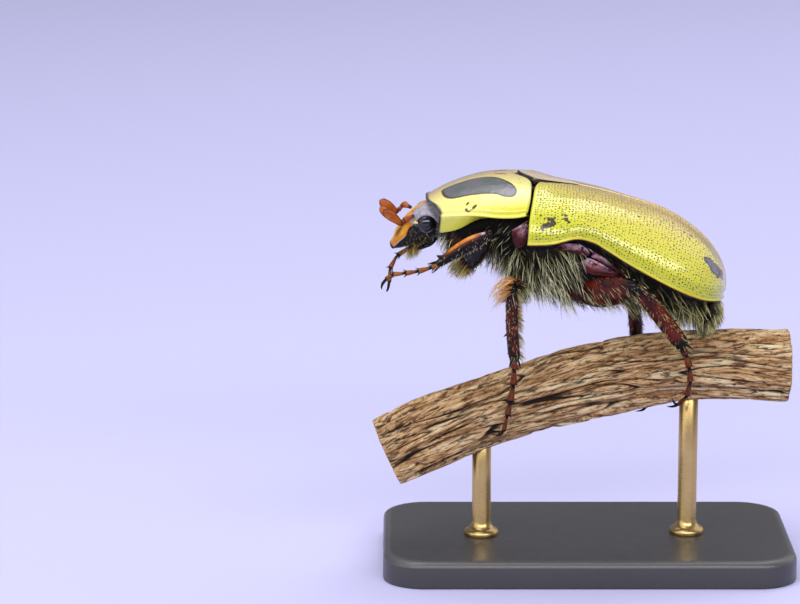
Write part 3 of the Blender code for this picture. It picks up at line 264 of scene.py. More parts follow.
# branch and stand, in the stand frame
PERCH_LINE = (
    (14.6, 1.2, 8.2), (10.5, 1.05, 10.1), (6.1, 0.9, 11.8),
    (-0.85, 0.6, 13.8), (-7.4, 0.5, 14.7), (-14.6, 0.5, 14.6),
)
PERCH_RADIUS = 2.45
PERCH_RIDGES = ((3, 0.08), (5, 0.1), (8, 0.06))
BASE_SIZE = (30.0, 17.0, 2.0)
BASE_CORNER = 3.0
BASE_BEVEL = 0.5
ROD_RADIUS = 0.7
ROD_XS = (8.0, -8.5)
ROD_SINK = 1.2
PERCH_SIDES = 280
CRACK_GRAINS = ((0.075, 0.62, 3), (0.12, 1.25, 4), (0.25, 2.7, 5))  # scale along, scale round and seed
CUT_END = (  # share of the cut end's radius, and how far it stands out there
    (0.985, 0.03), (0.95, 0.05), (0.85, 0.04), (0.7, 0.02), (0.5, 0.0), (0.3, -0.03), (0.1, -0.05),
)
ROD_FOOT = (  # radius and height above the base
    (1.15, -0.1), (1.25, 0.02), (1.27, 0.25), (1.2, 0.4), (1.0, 0.5), (0.86, 0.62), (0.74, 0.85),
    (ROD_RADIUS, 1.1),
)

# hair: its seed, its taper from root to tip, its sides, its reach on the map and the soft edge of each zone
SEED = 7
HAIR_PROFILE = (1.0, 0.98, 0.86, 0.66, 0.4, 0.08)
HAIR_SIDES = 3
MAP_SPREAD = 0.0012
SKIN_MIDDLE_Z = -4.2
ZONE_EDGE = 0.25

# names of the pieces of the legs' hair
LONG, SHORT, KNEES, SHINS = "coat_legs_long", "coat_legs_short", "coat_knees", "coat_shins"

# room, in the stand frame: each light has a place from its target, a size in metres, a power and a colour
FLOOR_HALF = 40.0
LIGHT_TARGET = (4.0, 0.0, 24.0)
LIGHTS = (
    ("key", (-30.0, 340.0, 170.0), (0.7, 0.07), 1.5, (1.0, 0.98, 0.95)),
    ("top", (40.0, -30.0, 420.0), (0.8, 0.25), 1.6, (0.95, 0.96, 1.0)),
    ("fill", (330.0, 160.0, 120.0), (0.3, 0.3), 0.35, (1.0, 0.98, 0.96)),
    ("back", (-320.0, -220.0, 200.0), (0.4, 0.4), 0.4, (0.96, 0.96, 1.0)),
)
WORLD_COLOUR = (0.80, 0.80, 0.92, 1.0)
WORLD_STRENGTH = 0.3
SUN_COLOUR = (0.93, 0.94, 1.0)
SUN_STRENGTH = 0.7
SUN_BREADTH = math.radians(60)
SUN_TURN = (math.radians(12), math.radians(8), 0)
CAMERA_AIM = (13.76, 0.0, 19.3)
CAMERA_TILT = math.radians(12)
CAMERA_DISTANCE = 250.0
FRAME_HALF_WIDTH = 29.2

# colours, as linear red, green and blue: ramps from the midline to the sides, and three tones of a finish
ELYTRON_STOPS = (
    (0.02, (0.60, 0.42, 0.15)), (0.2, (0.60, 0.46, 0.11)), (0.42, (0.64, 0.56, 0.08)),
    (0.72, (0.62, 0.60, 0.06)), (0.93, (0.54, 0.55, 0.02)),
)
PRONOTUM_STOPS = (
    (0.02, (0.66, 0.47, 0.20)), (0.2, (0.72, 0.58, 0.22)), (0.45, (0.78, 0.71, 0.23)),
    (0.75, (0.80, 0.74, 0.19)), (0.95, (0.62, 0.60, 0.02)),
)
SCUTELLUM_STOPS = ((0.0, (0.78, 0.61, 0.41)), (0.5, (0.78, 0.60, 0.38)), (1.0, (0.74, 0.52, 0.28)))
ELYTRON_PITS = ((4.1, 4.5), 0.55, 0.041, 0.95)  # dots of yellow_paint
FAINT_PITS = ((2.0, 2.0), 0.9, 0.035, 0.4)
# marks: black-brown with a lilac-grey painted sheen in patches on the wing cases; on the pronotum, black
# painted grey-green and grey-lilac as painted reflection
ELYTRON_MARK_AND_SHEEN = ((0.02, 0.018, 0.016), (0.13, 0.13, 0.20))
DARK_MARK_AND_SHEEN = ((0.07, 0.11, 0.075), (0.135, 0.115, 0.14))
PLATE_COLOURS = ((0.085, 0.010, 0.006), (0.03, 0.004, 0.004), (0.004, 0.002, 0.003))
MOUTH_COLOURS = ((0.06, 0.014, 0.005), (0.02, 0.005, 0.003), (0.005, 0.003, 0.002))
LEG_COLOURS = ((0.10, 0.010, 0.003), (0.018, 0.002, 0.001), (0.003, 0.001, 0.001))
HAIR_COLOURS = {  # root, middle and tip
    "pale": ((0.014, 0.012, 0.006), (0.32, 0.31, 0.12), (1.0, 0.98, 0.64)),
    "tail": ((0.012, 0.012, 0.005), (0.27, 0.26, 0.09), (0.84, 0.80, 0.36)),
    "gold": ((0.48, 0.12, 0.008), (0.64, 0.42, 0.14), (0.92, 0.88, 0.64)),
    "brush": ((0.10, 0.05, 0.008), (0.48, 0.35, 0.08), (0.75, 0.68, 0.30)),
}


# Arithmetic on arrays of points


def unit(v):
    v = np.asarray(v, float)
    return v / np.maximum(np.linalg.norm(v, axis=-1, keepdims=True), 1e-9)


def along(table, x):
    """A smooth curve through the table's (place, value) pairs, held level past its ends."""
    xs, ys = np.array(table, float).T
    x = np.clip(np.asarray(x, float), xs[0], xs[-1])
    places = np.arange(len(xs))
    low, high = np.maximum(places - 1, 0), np.minimum(places + 1, len(xs) - 1)
    slopes = (ys[high] - ys[low]) / (xs[high] - xs[low])
    k = np.clip(np.searchsorted(xs, x) - 1, 0, len(xs) - 2)
    step = xs[k + 1] - xs[k]
    t = (x - xs[k]) / step
    return (
        (2 * t**3 - 3 * t**2 + 1) * ys[k] + (t**3 - 2 * t**2 + t) * step * slopes[k]
        + (3 * t**2 - 2 * t**3) * ys[k + 1] + (t**3 - t**2) * step * slopes[k + 1]
    )


def power(value, exponent):
    """A power that keeps the value's sign."""
    return np.sign(value) * np.abs(value) ** exponent


def smoothstep(value, low, high):
    t = np.clip((value - low) / (high - low), 0, 1)
    return t * t * (3 - 2 * t)


def hill(value, middle, spread):
    return np.exp(-(((value - middle) / spread) ** 2))


def turn_y(angle):
    """A turn about +Y, as a matrix that acts on rows of points from the right."""
    c, s = math.cos(angle), math.sin(angle)
    return np.array(((c, 0, -s), (0, 1, 0), (s, 0, c)))


BODY_TURN = turn_y(-BODY_PITCH)
HEAD_TURN = turn_y(HEAD_DIP)


def in_stand(points):
    """Body frame to stand frame."""
    return np.asarray(points, float) @ BODY_TURN + BODY_AT


def head_to_stand(points):
    """The head's own frame to the stand frame."""
    return in_stand(np.asarray(points, float) @ HEAD_TURN + np.array(HEAD_AT))


def from_body(points):
    """Points measured from the body's origin along the stand frame's axes, in the stand frame."""
    return np.asarray(points, float) + BODY_AT


def wobble(points, scale, seed=0.0):
    """Smooth noise at each point, between about -1 and 1."""
    shift = Vector((seed * 7.31, seed * 3.17, seed * 5.73))
    flat = np.asarray(points, float).reshape(-1, 3) * scale
    values = np.fromiter((noise.noise(Vector(p) + shift) for p in flat.tolist()), float, len(flat))
    return values.reshape(np.asarray(points).shape[:-1])


# Forms: each is a dict of points, faces (arrays of quads and triangles) and values at the points


def form(points, faces, **values):
    points = np.asarray(points, float).reshape(-1, 3)
    return {"points": points, "faces": [np.asarray(f, int) for f in faces if len(f)], "values": {
        key: np.broadcast_to(np.asarray(value, float), (len(points),)).copy() for key, value in values.items()
    }}


def join(forms):
    """One form from several; a value that one of them lacks is 0 there."""
    points, faces, count = [], [], 0
    keys = sorted({key for f in forms for key in f["values"]})
    for f in forms:
        points.append(f["points"])
        faces += [part + count for part in f["faces"]]
        count += len(f["points"])
    values = {}
    for key in keys:
        values[key] = np.concatenate([
            f["values"].get(key, np.zeros(len(f["points"]))) for f in forms
        ])
    return {"points": np.concatenate(points), "faces": faces, "values": values}


def grid_faces(rows, columns, closed=False):
    """Quads between the points of a grid; closed joins the last column to the first."""
    i, j = np.meshgrid(np.arange(rows - 1), np.arange(columns if closed else columns - 1), indexing="ij")
    a = (i * columns + j).ravel()
    b = (i * columns + (j + 1) % columns).ravel()
    return np.stack((a, b, b + columns, a + columns), axis=1)


def loft(rings, **values):
    """A closed form through rings of points, with a pole at each end.

    Values are given for each ring, or for each point of each ring.
    """
    rings = np.asarray(rings, float)
    rows, columns = rings.shape[:2]
    poles = np.stack((rings[0].mean(0), rings[-1].mean(0)))
    points = np.concatenate((rings.reshape(-1, 3), poles))
    first, last = rows * columns, rows * columns + 1
    j = np.arange(columns)
    k = (j + 1) % columns
    ends = np.concatenate((
        np.stack((k, j, np.full(columns, first)), axis=1),
        np.stack((j + (rows - 1) * columns, k + (rows - 1) * columns, np.full(columns, last)), axis=1),
    ))
    spread = {}
    for key, value in values.items():
        value = np.asarray(value, float)
        if value.ndim == 1:
            value = np.repeat(value[:, None], columns, axis=1)
        spread[key] = np.concatenate((value.ravel(), (value[0].mean(), value[-1].mean())))
    return form(points, [grid_faces(rows, columns, True), ends], **spread)


def plate(outer, thickness, **values):
    """A closed shell whose outer face is the grid."""
    rows, columns = outer.shape[:2]
    inner = outer - grid_normals(outer) * np.asarray(thickness)[..., None]
    count = rows * columns
    border = np.concatenate((
        np.arange(columns), np.arange(1, rows) * columns + columns - 1,
        (rows - 1) * columns + np.arange(columns - 2, -1, -1), np.arange(rows - 2, 0, -1) * columns,
    ))
    after = np.roll(border, -1)
    top = grid_faces(rows, columns)
    sides = np.stack((after, border, border + count, after + count), axis=1)
    spread = {key: np.concatenate((value.ravel(), value.ravel())) for key, value in values.items()}
    spread["inside"] = np.repeat((0.0, 1.0), count)
    points = np.concatenate((outer.reshape(-1, 3), inner.reshape(-1, 3)))
    return form(points, [top, top[:, ::-1] + count, sides], **spread)


def smooth_path(points, steps):
    """A Catmull-Rom curve through the points, with steps stretches between each two."""
    points = np.asarray(points, float)
    made = []
    for k in range(len(points) - 1):
        before, a, b = points[max(k - 1, 0)], points[k], points[k + 1]
        after = points[min(k + 2, len(points) - 1)]
        t = (np.arange(steps) / steps)[:, None]
        made.append(0.5 * (
            2 * a + (b - before) * t + (2 * before - 5 * a + 4 * b - after) * t * t
            + (3 * a - before - 3 * b + after) * t**3
        ))
    made.append(points[-1:])
    return np.concatenate(made)


def tube(path, sizes, across, sides, steps, **values):
    """A limb along a smooth path; sizes are a half breadth and half thickness at each of its given points.

    across is the way in which the breadth is measured. Its ends are rounded, and its values are given at the
    path's points. The value "run" goes from 0 to 1 along it, and "turn" is the place round it.
    """
    count = len(path)
    line = smooth_path(path, steps)
    at = np.linspace(0, count - 1, len(line))
    table = np.arange(count)
    size = np.stack([
        np.clip(along(list(zip(table, np.asarray(sizes, float)[:, k])), at), THINNEST, None) for k in (0, 1)
    ], axis=1)
    heading = unit(np.gradient(line, axis=0))
    stores = [line], [size], [heading], [at]
    for tilt in END_TILTS:
        for end, sign in ((0, -1), (-1, 1)):
            out = line[end] + heading[end] * min(size[end]) * END_REACH * tilt * sign
            ring = (out, size[end] * math.sqrt(1 - tilt**2), heading[end], at[end])
            for store, value in zip(stores, ring):
                store.insert(0 if end == 0 else len(store), np.array([value]))
    line, size, heading, at = (np.concatenate(store) for store in stores)
    across = np.asarray(across, float)
    wide = unit(across - heading * (heading @ across)[:, None])
    thin = np.cross(heading, wide)
    turn = 2 * np.pi * (np.arange(sides) + 0.5) / sides
    rings = (
        line[:, None] + wide[:, None] * (size[:, :1] * np.cos(turn))[..., None]
        + thin[:, None] * (size[:, 1:] * np.sin(turn))[..., None]
    )
    spread = {key: np.interp(at, table, value) for key, value in values.items()}
    spread["run"] = at / (count - 1)
    spread["turn"] = np.broadcast_to(turn / (2 * np.pi), rings.shape[:2])
    return loft(rings, **spread)


def ball(centre, radii, rings, sides, turn=None, **values):
    """An ellipsoid; turn is a matrix whose rows are its axes."""
    tilt = np.pi * ((np.arange(rings) + 0.5) / rings - 0.5)
    round_ = 2 * np.pi * np.arange(sides) / sides
    points = np.stack((
        np.outer(np.cos(tilt), np.cos(round_)), np.outer(np.cos(tilt), np.sin(round_)),
        np.outer(np.sin(tilt), np.ones(sides)),
    ), axis=-1) * np.asarray(radii, float)
    if turn is not None:
        points = points @ np.asarray(turn, float)
    spread = {key: np.full(rings, float(value)) for key, value in values.items()}
    return loft(points + np.asarray(centre, float), **spread)


def placed(shape, how):
    shape["points"] = how(shape["points"])
    return shape


# Pieces


def linked(name, data):
    """A new object in the scene."""
    made = bpy.data.objects.new(name, data)
    bpy.context.scene.collection.objects.link(made)
    return made


def make_piece(name, shape, material, replaced=(), uv=None):
    """A piece that rides on the part, from a form in the stand frame; uv has a place for each point."""
    points, faces = shape["points"] * MM, list(shape["faces"])
    volume = 0.0
    for part in faces:
        a = points[part[:, 0]]
        for k in range(1, part.shape[1] - 1):
            volume += np.einsum("ij,ij->i", a, np.cross(points[part[:, k]], points[part[:, k + 1]])).sum()
    if volume < 0:
        faces = [part[:, ::-1] for part in faces]
    mesh = bpy.data.meshes.new(name)
    mesh.vertices.add(len(points))
    mesh.vertices.foreach_set("co", points.astype(np.float32).ravel())
    corners = np.concatenate([part.ravel() for part in faces]).astype(np.int32)
    sizes = np.concatenate([np.full(len(part), part.shape[1]) for part in faces])
    starts = np.concatenate(((0,), np.cumsum(sizes)[:-1])).astype(np.int32)
    mesh.loops.add(len(corners))
    mesh.loops.foreach_set("vertex_index", corners)
    mesh.polygons.add(len(sizes))
    mesh.polygons.foreach_set("loop_start", starts)
    mesh.update(calc_edges=True)
    mesh.shade_smooth()
    for key, value in shape["values"].items():
        mesh.attributes.new(key, "FLOAT", "POINT").data.foreach_set("value", value.astype(np.float32))
    if uv is not None:
        layer = mesh.uv_layers.new(name="OFBake")
        layer.data.foreach_set("uv", uv[corners].astype(np.float32).ravel())
    mesh.materials.append(material)
    piece = linked(name, mesh)
    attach(piece, "root")
    if replaced:
        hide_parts(*replaced)


def make_pair(name, shape, material, node):
    """The left piece and its mirror image at the right, from a form in the body frame."""
    for side, made in (("left", shape), ("right", mirrored(shape))):
        make_piece(name.format(side), placed(made, in_stand), material, [node.format(side)])


class Signal:
    """A value or colour that varies over a surface, as one output of a node."""

    def __init__(self, paint, socket):
        self.paint = paint
        self.socket = socket

    def __add__(self, other):
        return self.paint.math("ADD", self, other)

    def __sub__(self, other):
        return self.paint.math("SUBTRACT", self, other)

    def __rsub__(self, other):
        return self.paint.math("SUBTRACT", other, self)

    def __mul__(self, other):
        return self.paint.math("MULTIPLY", self, other)


class Paint:
    """One procedural material round a Principled shader, with scales per millimetre.

    Its colour and its normal hold what over and relief have laid so far.
    """

    def __init__(self, name, **sockets):
        self.material = bpy.data.materials.new(name)
        self.material.use_nodes = True
        self.tree = self.material.node_tree
        self.shader = self.tree.nodes["Principled BSDF"]
        self.where = self.add("TexCoord", "Object")
        self.colour = None
        self.normal = None
        self.set(**sockets)

    def put(self, value, socket):
        """Links a signal to a socket, or sets the socket's own value."""
        if isinstance(value, Signal):
            self.tree.links.new(value.socket, socket)
        else:
            socket.default_value = (*value, 1.0) if socket.type == "RGBA" else value

    def add(self, kind, output, inputs=None, **settings):
        """One output of a new node."""
        node = self.tree.nodes.new("ShaderNode" + kind)
        for key, value in settings.items():
            setattr(node, key, value)
        for key, value in (inputs or {}).items():
            self.put(value, node.inputs[key])
        return Signal(self, node.outputs[output])

    def set(self, **sockets):
        for key, value in sockets.items():
            self.put(value, self.shader.inputs[key.replace("_", " ")])

    def value(self, name):
        return self.add("Attribute", "Fac", attribute_name=name)

    def math(self, operation, a, b=0.0, c=0.0):
        return self.add("Math", 0, {0: a, 1: b, 2: c}, operation=operation)

    def noise(self, scale, detail=3.0, roughness=0.5, where=None):
        """Noise through the body, or over a pattern of its own, whose scale is then taken as it is."""
        inputs = {"Vector": where or self.where, "Scale": scale if where else scale * PER_METRE}
        return self.add("TexNoise", "Fac", {**inputs, "Detail": detail, "Roughness": roughness})

    def flat(self, x, y):
        """A pattern's place that lies in the surface."""
        return self.add("CombineXYZ", 0, {0: x, 1: y})

    def step(self, value, low, high):
        """0 below low and 1 above high, smooth between; low may be the larger."""
        inputs = {"Value": value, "From Min": low, "From Max": high}
        return self.add("MapRange", "Result", inputs, interpolation_type="SMOOTHSTEP")

    def blend(self, share, a, b):
        return self.add("Mix", 2, {0: share, 6: a, 7: b}, data_type="RGBA")

    def over(self, share, colour):
        """Covers the colour so far with another where share is 1."""
        self.colour = self.blend(share, self.colour, colour)

    def ramp(self, value, stops):
        made = self.add("ValToRGB", "Color", {"Fac": value})
        line = made.socket.node.color_ramp
        while len(line.elements) < len(stops):
            line.elements.new(1.0)
        for element, (place, colour) in zip(line.elements, stops):
            element.position = place
            element.color = (*colour, 1.0)
        return made

    def relief(self, height, depth):
        """Bumps over those so far; depth is how far a height of 1 stands out, in millimetres."""
        inputs = {"Height": height, "Distance": depth * MM, "Strength": 1.0}
        if self.normal:
            inputs["Normal"] = self.normal
        self.normal = self.add("Bump", "Normal", inputs)

    def cells(self, where, scale, jitter, output="Distance", **settings):
        inputs = {"Vector": where, "Scale": scale, "Randomness": jitter}
        return self.add("TexVoronoi", output, inputs, **settings)

    def pits(self, scale, low, high, jitter=0.9):
        """1 in small round pits, whose size low and high give."""
        return self.step(self.cells(self.where, scale * PER_METRE, jitter), low, high)

    def finished(self, roughness=None, coat=False):
        """The material with its colour, roughness and bumps joined to the shader."""
        self.set(Base_Color=self.colour)
        if roughness:
            self.set(Roughness=roughness)
        if self.normal:
            self.set(Normal=self.normal)
        if coat:
            self.set(Coat_Normal=self.normal)
        return self.material


# Finishes


def yellow_paint(name, stops, mark_and_sheen_colours, dots, ragged=0.12):
    """Glossy yellow chitin: a ramp over the value "across", dark marks where "spot" is above 0, and dots.

    dots are cells to a millimetre along and across, their jitter, size in millimetres and strength.
    """
    p = Paint(name, IOR=1.5, Coat_Weight=0.9, Coat_Roughness=0.09, Coat_IOR=1.5, Specular_IOR_Level=0.3)
    cloud = (p.noise(0.3, 4, 0.6) - 0.5) * 0.28
    p.colour = p.ramp(p.value("across") + cloud, stops)
    p.over(p.step(p.noise(5.0, 3, 0.6), 0.45, 0.75) * 0.22, (0.5, 0.36, 0.03))

    (lengthwise, crosswise), jitter, size, strength = dots
    grain = p.flat(p.value("grain_x"), p.value("grain_y"))
    grid = p.add("VectorMath", 0, {0: grain, 1: (lengthwise, crosswise, 1.0)}, operation="MULTIPLY")
    in_plane = dict(voronoi_dimensions="2D")
    distance = p.cells(grid, 1.0, jitter, **in_plane)
    chance = p.add("SeparateColor", 0, {"Color": p.cells(grid, 1.0, jitter, "Color", **in_plane)})
    reach = p.math("MULTIPLY_ADD", chance, size * 0.75 * crosswise, size * 0.55 * crosswise)
    edge = distance - reach
    dot = p.step(edge, 0.06, -0.06) * p.value("dotted")
    # painted shade: darker olive where the surface turns under, below the pronotum's fold and on the wing
    # cases' lower sides, which are also greener
    p.over(p.value("low"), (0.40, 0.41, 0.004))
    p.over(p.value("warm"), (0.60, 0.30, 0.01))
    p.over(dot * strength, (0.012, 0.008, 0.002))

    spot = p.value("spot")
    # the marks' grey-green, grey-lilac and lilac-grey tones are painted sheen over their black
    mark = p.ramp(p.noise(0.8, 3), ((0.35, mark_and_sheen_colours[0]), (0.65, mark_and_sheen_colours[1])))
    mark = p.blend(p.step(spot, 0.2, 0.08), mark, (0.045, 0.032, 0.008))
    p.over(p.step(spot + (p.noise(4.5, 4, 0.65) - 0.5) * ragged, -0.03, 0.03), mark)
    rim = p.math("MAXIMUM", p.value("rim"), p.value("inside"))
    p.over(p.step(rim, 0.35, 0.7), (0.010, 0.008, 0.006))

    p.relief((1.0 - p.step(edge, 0.16, -0.1)) * p.value("dotted"), 0.045)
    p.relief(p.noise(2.6, 3, 0.55), 0.035)
    p.relief(p.noise(14.0, 3, 0.6), 0.003)
    return p.finished(p.noise(1.4, 4, 0.6) * 0.16 + 0.16, coat=True)


def chitin_paint(name, light, dark, tip, pits, pit_depth=0.05, rough=0.25, tint=(1.0, 1.0, 1.0)):
    """Glossy, coarsely pitted chitin: darkest where "dark" is 1, with a painted orange light and a painted
    pink sheen where their own values are 1.

    pits are counted per millimetre, and their depth is in millimetres.
    """
    p = Paint(
        name, IOR=1.5, Coat_Weight=0.25, Coat_Roughness=0.08, Specular_IOR_Level=0.06, Specular_Tint=tint,
    )
    p.colour = p.blend(p.step(p.noise(0.8, 4, 0.6), 0.32, 0.6), light, dark)
    # painted light: orange laid on the lit parts of the limbs
    orange = p.ramp(p.noise(2.2, 3), ((0.35, (0.42, 0.10, 0.012)), (0.65, (0.58, 0.24, 0.03))))
    p.over(p.value("glow"), orange)
    # painted sheen: pink-lilac in patches
    p.over(p.value("bloom") * p.step(p.noise(1.7, 4, 0.7), 0.4, 0.62), (0.62, 0.42, 0.54))
    pit = p.pits(pits, 0.32, 0.12)
    p.over(pit * 0.55, tip)
    p.over(p.step(p.value("dark") + p.noise(2.5) * 0.2, 0.35, 0.75), tip)
    p.relief(pit, -pit_depth)
    p.relief(1.0 - p.cells(p.where, pits * PER_METRE, 0.9), 0.012)
    p.relief(p.noise(9.0, 4, 0.6), 0.012)
    return p.finished(p.noise(6.0, 4) * 0.22 + (rough - 0.08), coat=True)


def head_paint():
    """Grey-black with lilac patches of painted sheen, finely pitted, with warm areas where "warm" is above 0
    and pale ones where "pale" is.
    """
    p = Paint(
        "head_chitin", IOR=1.5, Coat_Weight=0.15, Coat_Roughness=0.15, Specular_IOR_Level=0.15,
        Specular_Tint=(0.85, 0.82, 1.0),
    )
    # grey chitin; the lilac of its lighter patches is painted sheen
    grey = ((0.3, (0.18, 0.23, 0.205)), (0.5, (0.36, 0.33, 0.38)), (0.7, (0.54, 0.42, 0.52)))
    orange = ((0.3, (0.44, 0.11, 0.005)), (0.5, (0.58, 0.22, 0.010)), (0.7, (0.68, 0.36, 0.035)))
    ragged = (p.noise(4.0, 4, 0.6) - 0.5) * 0.25
    warm = p.blend(p.value("middle") * 0.6, p.ramp(p.noise(1.6, 3), orange), (0.80, 0.62, 0.26))
    warm = p.blend(p.value("oval"), warm, (0.10, 0.055, 0.010))
    p.colour = p.ramp(p.noise(1.6, 4, 0.65), grey)
    p.over(p.step(p.value("warm") + ragged, -0.03, 0.05), warm)
    p.over(p.step(p.value("pale") + ragged, -0.03, 0.05), (0.78, 0.62, 0.2))
    pit = p.pits(8, 0.3, 0.14, 0.95)
    p.over(pit * 0.6, (0.02, 0.012, 0.015))
    p.over(p.step(p.value("dark"), 0.35, 0.75), (0.006, 0.005, 0.005))
    p.relief(pit, -0.03)
    p.relief(p.noise(10.0, 3), 0.01)
    return p.finished(p.noise(6.0, 4) * 0.2 + 0.24, coat=True)


def eye_paint():
    """Black, with fine facets under a clear gloss."""
    p = Paint(
        "eye_facets", Roughness=0.2, IOR=1.5, Specular_IOR_Level=0.1, Coat_Weight=0.9, Coat_Roughness=0.06,
        Coat_IOR=1.5,
    )
    p.colour = p.ramp(p.noise(1.2, 2), ((0.3, (0.003, 0.003, 0.005)), (0.75, (0.008, 0.008, 0.018))))
    p.relief(p.cells(p.where, 18 * PER_METRE, 0.15), -0.0015)
    return p.finished()


def antenna_paint():
    """Thin orange-brown chitin, redder and darker towards its edges and joints."""
    p = Paint(
        "antenna_chitin", IOR=1.5, Specular_IOR_Level=0.2, Coat_Weight=0.2, Coat_Roughness=0.15,
        Subsurface_Weight=0.25, Subsurface_Scale=0.3 * MM, Subsurface_Radius=(1.0, 0.35, 0.1),
    )
    p.colour = p.blend(p.step(p.noise(1.8, 4), 0.35, 0.7), (0.44, 0.12, 0.010), (0.27, 0.05, 0.006))
    p.over(p.step(p.value("dark"), 0.25, 0.85), (0.045, 0.008, 0.004))
    pit = p.pits(14, 0.3, 0.15)
    p.over(pit * 0.3, (0.14, 0.03, 0.01))
    p.relief(pit, -0.015)
    p.relief(p.noise(12.0, 3), 0.012)
    return p.finished(p.noise(7.0) * 0.2 + 0.28)


def skin_paint():
    """Dark cuticle under the hair: pitted, with a dull sheen, browner at the plates' edges."""
    p = Paint("dark_cuticle", IOR=1.5, Specular_IOR_Level=0.08)
    p.colour = p.ramp(p.noise(0.7, 4, 0.6), ((0.3, (0.003, 0.003, 0.002)), (0.72, (0.009, 0.007, 0.005))))
    p.over(p.step(p.value("brown"), 0.2, 0.8) * 0.6, (0.045, 0.010, 0.007))
    pit = p.pits(4.5, 0.34, 0.16)
    p.over(pit * 0.6, (0.01, 0.008, 0.007))
    p.relief(pit, -0.05)
    p.relief(p.noise(8.0, 4), 0.02)
    return p.finished(p.noise(5.0, 4) * 0.25 + 0.32)


def hair_paint(name, root, middle, tip):
    """Hair: dark at its root and paler to its tip, each tuft a little lighter or darker than the next."""
    p = Paint(name, Roughness=0.42, IOR=1.5, Specular_IOR_Level=0.22)
    run = p.value("run") + (p.value("tone") - 0.5) * 0.35
    p.colour = p.ramp(run, ((0.05, root), (0.4, middle), (0.85, tip)))
    p.over(p.step(p.value("tone"), 0.75, 0.25) * 0.9, root)
    p.relief(p.noise(30.0, 2), 0.004)
    return p.finished()


def bark_paint():
    """Dry bark in long strips with dark cracks, lighter where it stands out and darker where it sinks, partly
    its own tone and partly painted highlight and painted shade; the cut ends show pale wood with rings.
    """
    p = Paint("bark", IOR=1.45, Specular_IOR_Level=0.35)
    grain = p.flat(p.value("grain_x") * 0.14, p.value("grain_y"))
    streak = p.noise(1.6, 7, 0.68, grain)
    thin = p.noise(5.5, 6, 0.75, grain)
    # the strips' tones follow the same noise as their relief: raised ones paler as painted highlight, low
    # ones darker as painted shade
    p.colour = p.ramp(streak, (
        (0.32, (0.20, 0.085, 0.03)), (0.42, (0.52, 0.27, 0.10)), (0.52, (0.88, 0.56, 0.27)),
        (0.62, (1.0, 0.84, 0.52)),
    ))
    # thin grooves painted dark as painted shade and thin ridges painted pale as painted highlight, from the
    # noise that also sets their relief
    p.over(p.step(thin, 0.50, 0.43) * 0.92, (0.09, 0.035, 0.015))
    p.over(p.step(thin, 0.55, 0.64) * 0.8, (1.0, 0.84, 0.62))
    # cracks sunk into the bark are painted near black, partly their own dark and partly painted shade
    p.over(p.step(p.value("crack"), 0.2, 0.85), (0.022, 0.009, 0.005))
    ring = p.math("SINE", (p.value("ring") + p.noise(0.8) * 0.25) * 30.0)
    wood = p.blend(p.step(ring, -0.6, 0.9), (0.62, 0.43, 0.24), (0.42, 0.26, 0.13))
    wood = p.blend(p.step(p.noise(2.2, 5, 0.7), 0.6, 0.68) * 0.6, wood, (0.2, 0.11, 0.05))
    p.over(p.step(p.value("cut"), 0.4, 0.6), wood)
    p.relief(streak, 0.45)
    p.relief(thin, 0.5)
    p.relief(p.noise(7.0, 5, 0.7), 0.06)
    return p.finished(thin * 0.3 + 0.55)


def base_paint():
    """Satin black, a little worn at the edge."""
    p = Paint("stand_paint", Metallic=0.0, IOR=1.5, Coat_Weight=0.25, Coat_Roughness=0.3)
    p.colour = p.blend(p.noise(0.12, 4), (0.030, 0.029, 0.031), (0.042, 0.040, 0.042))
    p.over(p.step(p.value("edge"), 0.55, 1.0) * 0.5, (0.09, 0.088, 0.09))
    p.relief(p.noise(5.0, 3, 0.6), 0.012)
    return p.finished(p.noise(0.8, 5) * 0.2 + 0.3)


def rod_paint():
    """Brass brushed round the rod."""
    p = Paint("stand_brass", Metallic=1.0)
    brush = p.noise(1.0, 4, 0.5, p.flat(p.value("run") * 220.0, p.value("turn") * 3.0))
    p.colour = p.blend(p.noise(0.4, 3), (0.62, 0.45, 0.19), (0.48, 0.33, 0.13))
    p.relief(brush, 0.006)
    return p.finished(brush * 0.2 + 0.2)


def floor_paint():
    p = Paint("pale_floor", Specular_IOR_Level=0.2, Roughness=0.7)
    p.colour = p.blend(p.noise(0.004, 2), (0.53, 0.52, 0.77), (0.55, 0.54, 0.79))
    return p.finished()


# Shapes of the body, in the body frame


def half_width(x):
    share = np.clip((TAPER_FROM - x) / (TAPER_FROM - ELYTRON_REAR), 0, 0.995)
    rear = WIDEST_REAR * (1 - share**TAPER_POWER) ** (1 / TAPER_POWER)
    return np.where(x >= TAPER_FROM, along(HALF_WIDTH, x), rear)


def crest(x):
    share = np.clip((CREST_DROP_FROM - x) / (CREST_DROP_FROM - ELYTRON_REAR), 0, 1)
    rear = APEX_Z + (CREST_Z - APEX_Z) * np.sqrt(1 - share * share)
    return np.where(x >= CREST_DROP_FROM, along(CREST, x), rear)


def bump(x, y, shape):
    at_x, at_y, radius, height = shape
    return height * np.exp(-((x - at_x) ** 2 + (y - at_y) ** 2) / radius**2)


def scutellum_half_width(x):
    share = np.clip((SCUTELLUM_CORNER_X - x) / (SCUTELLUM_CORNER_X - SCUTELLUM_TIP), 0, 1)
    return SCUTELLUM_HALF_WIDTH * (1 - share**SCUTELLUM_POWER)


def elytron_inner_edge(x):
    beside = np.maximum(SUTURE_HALF_GAP, scutellum_half_width(x) + SCUTELLUM_GAP)
    return np.where(x < SCUTELLUM_TIP - 0.1, SUTURE_HALF_GAP, beside)


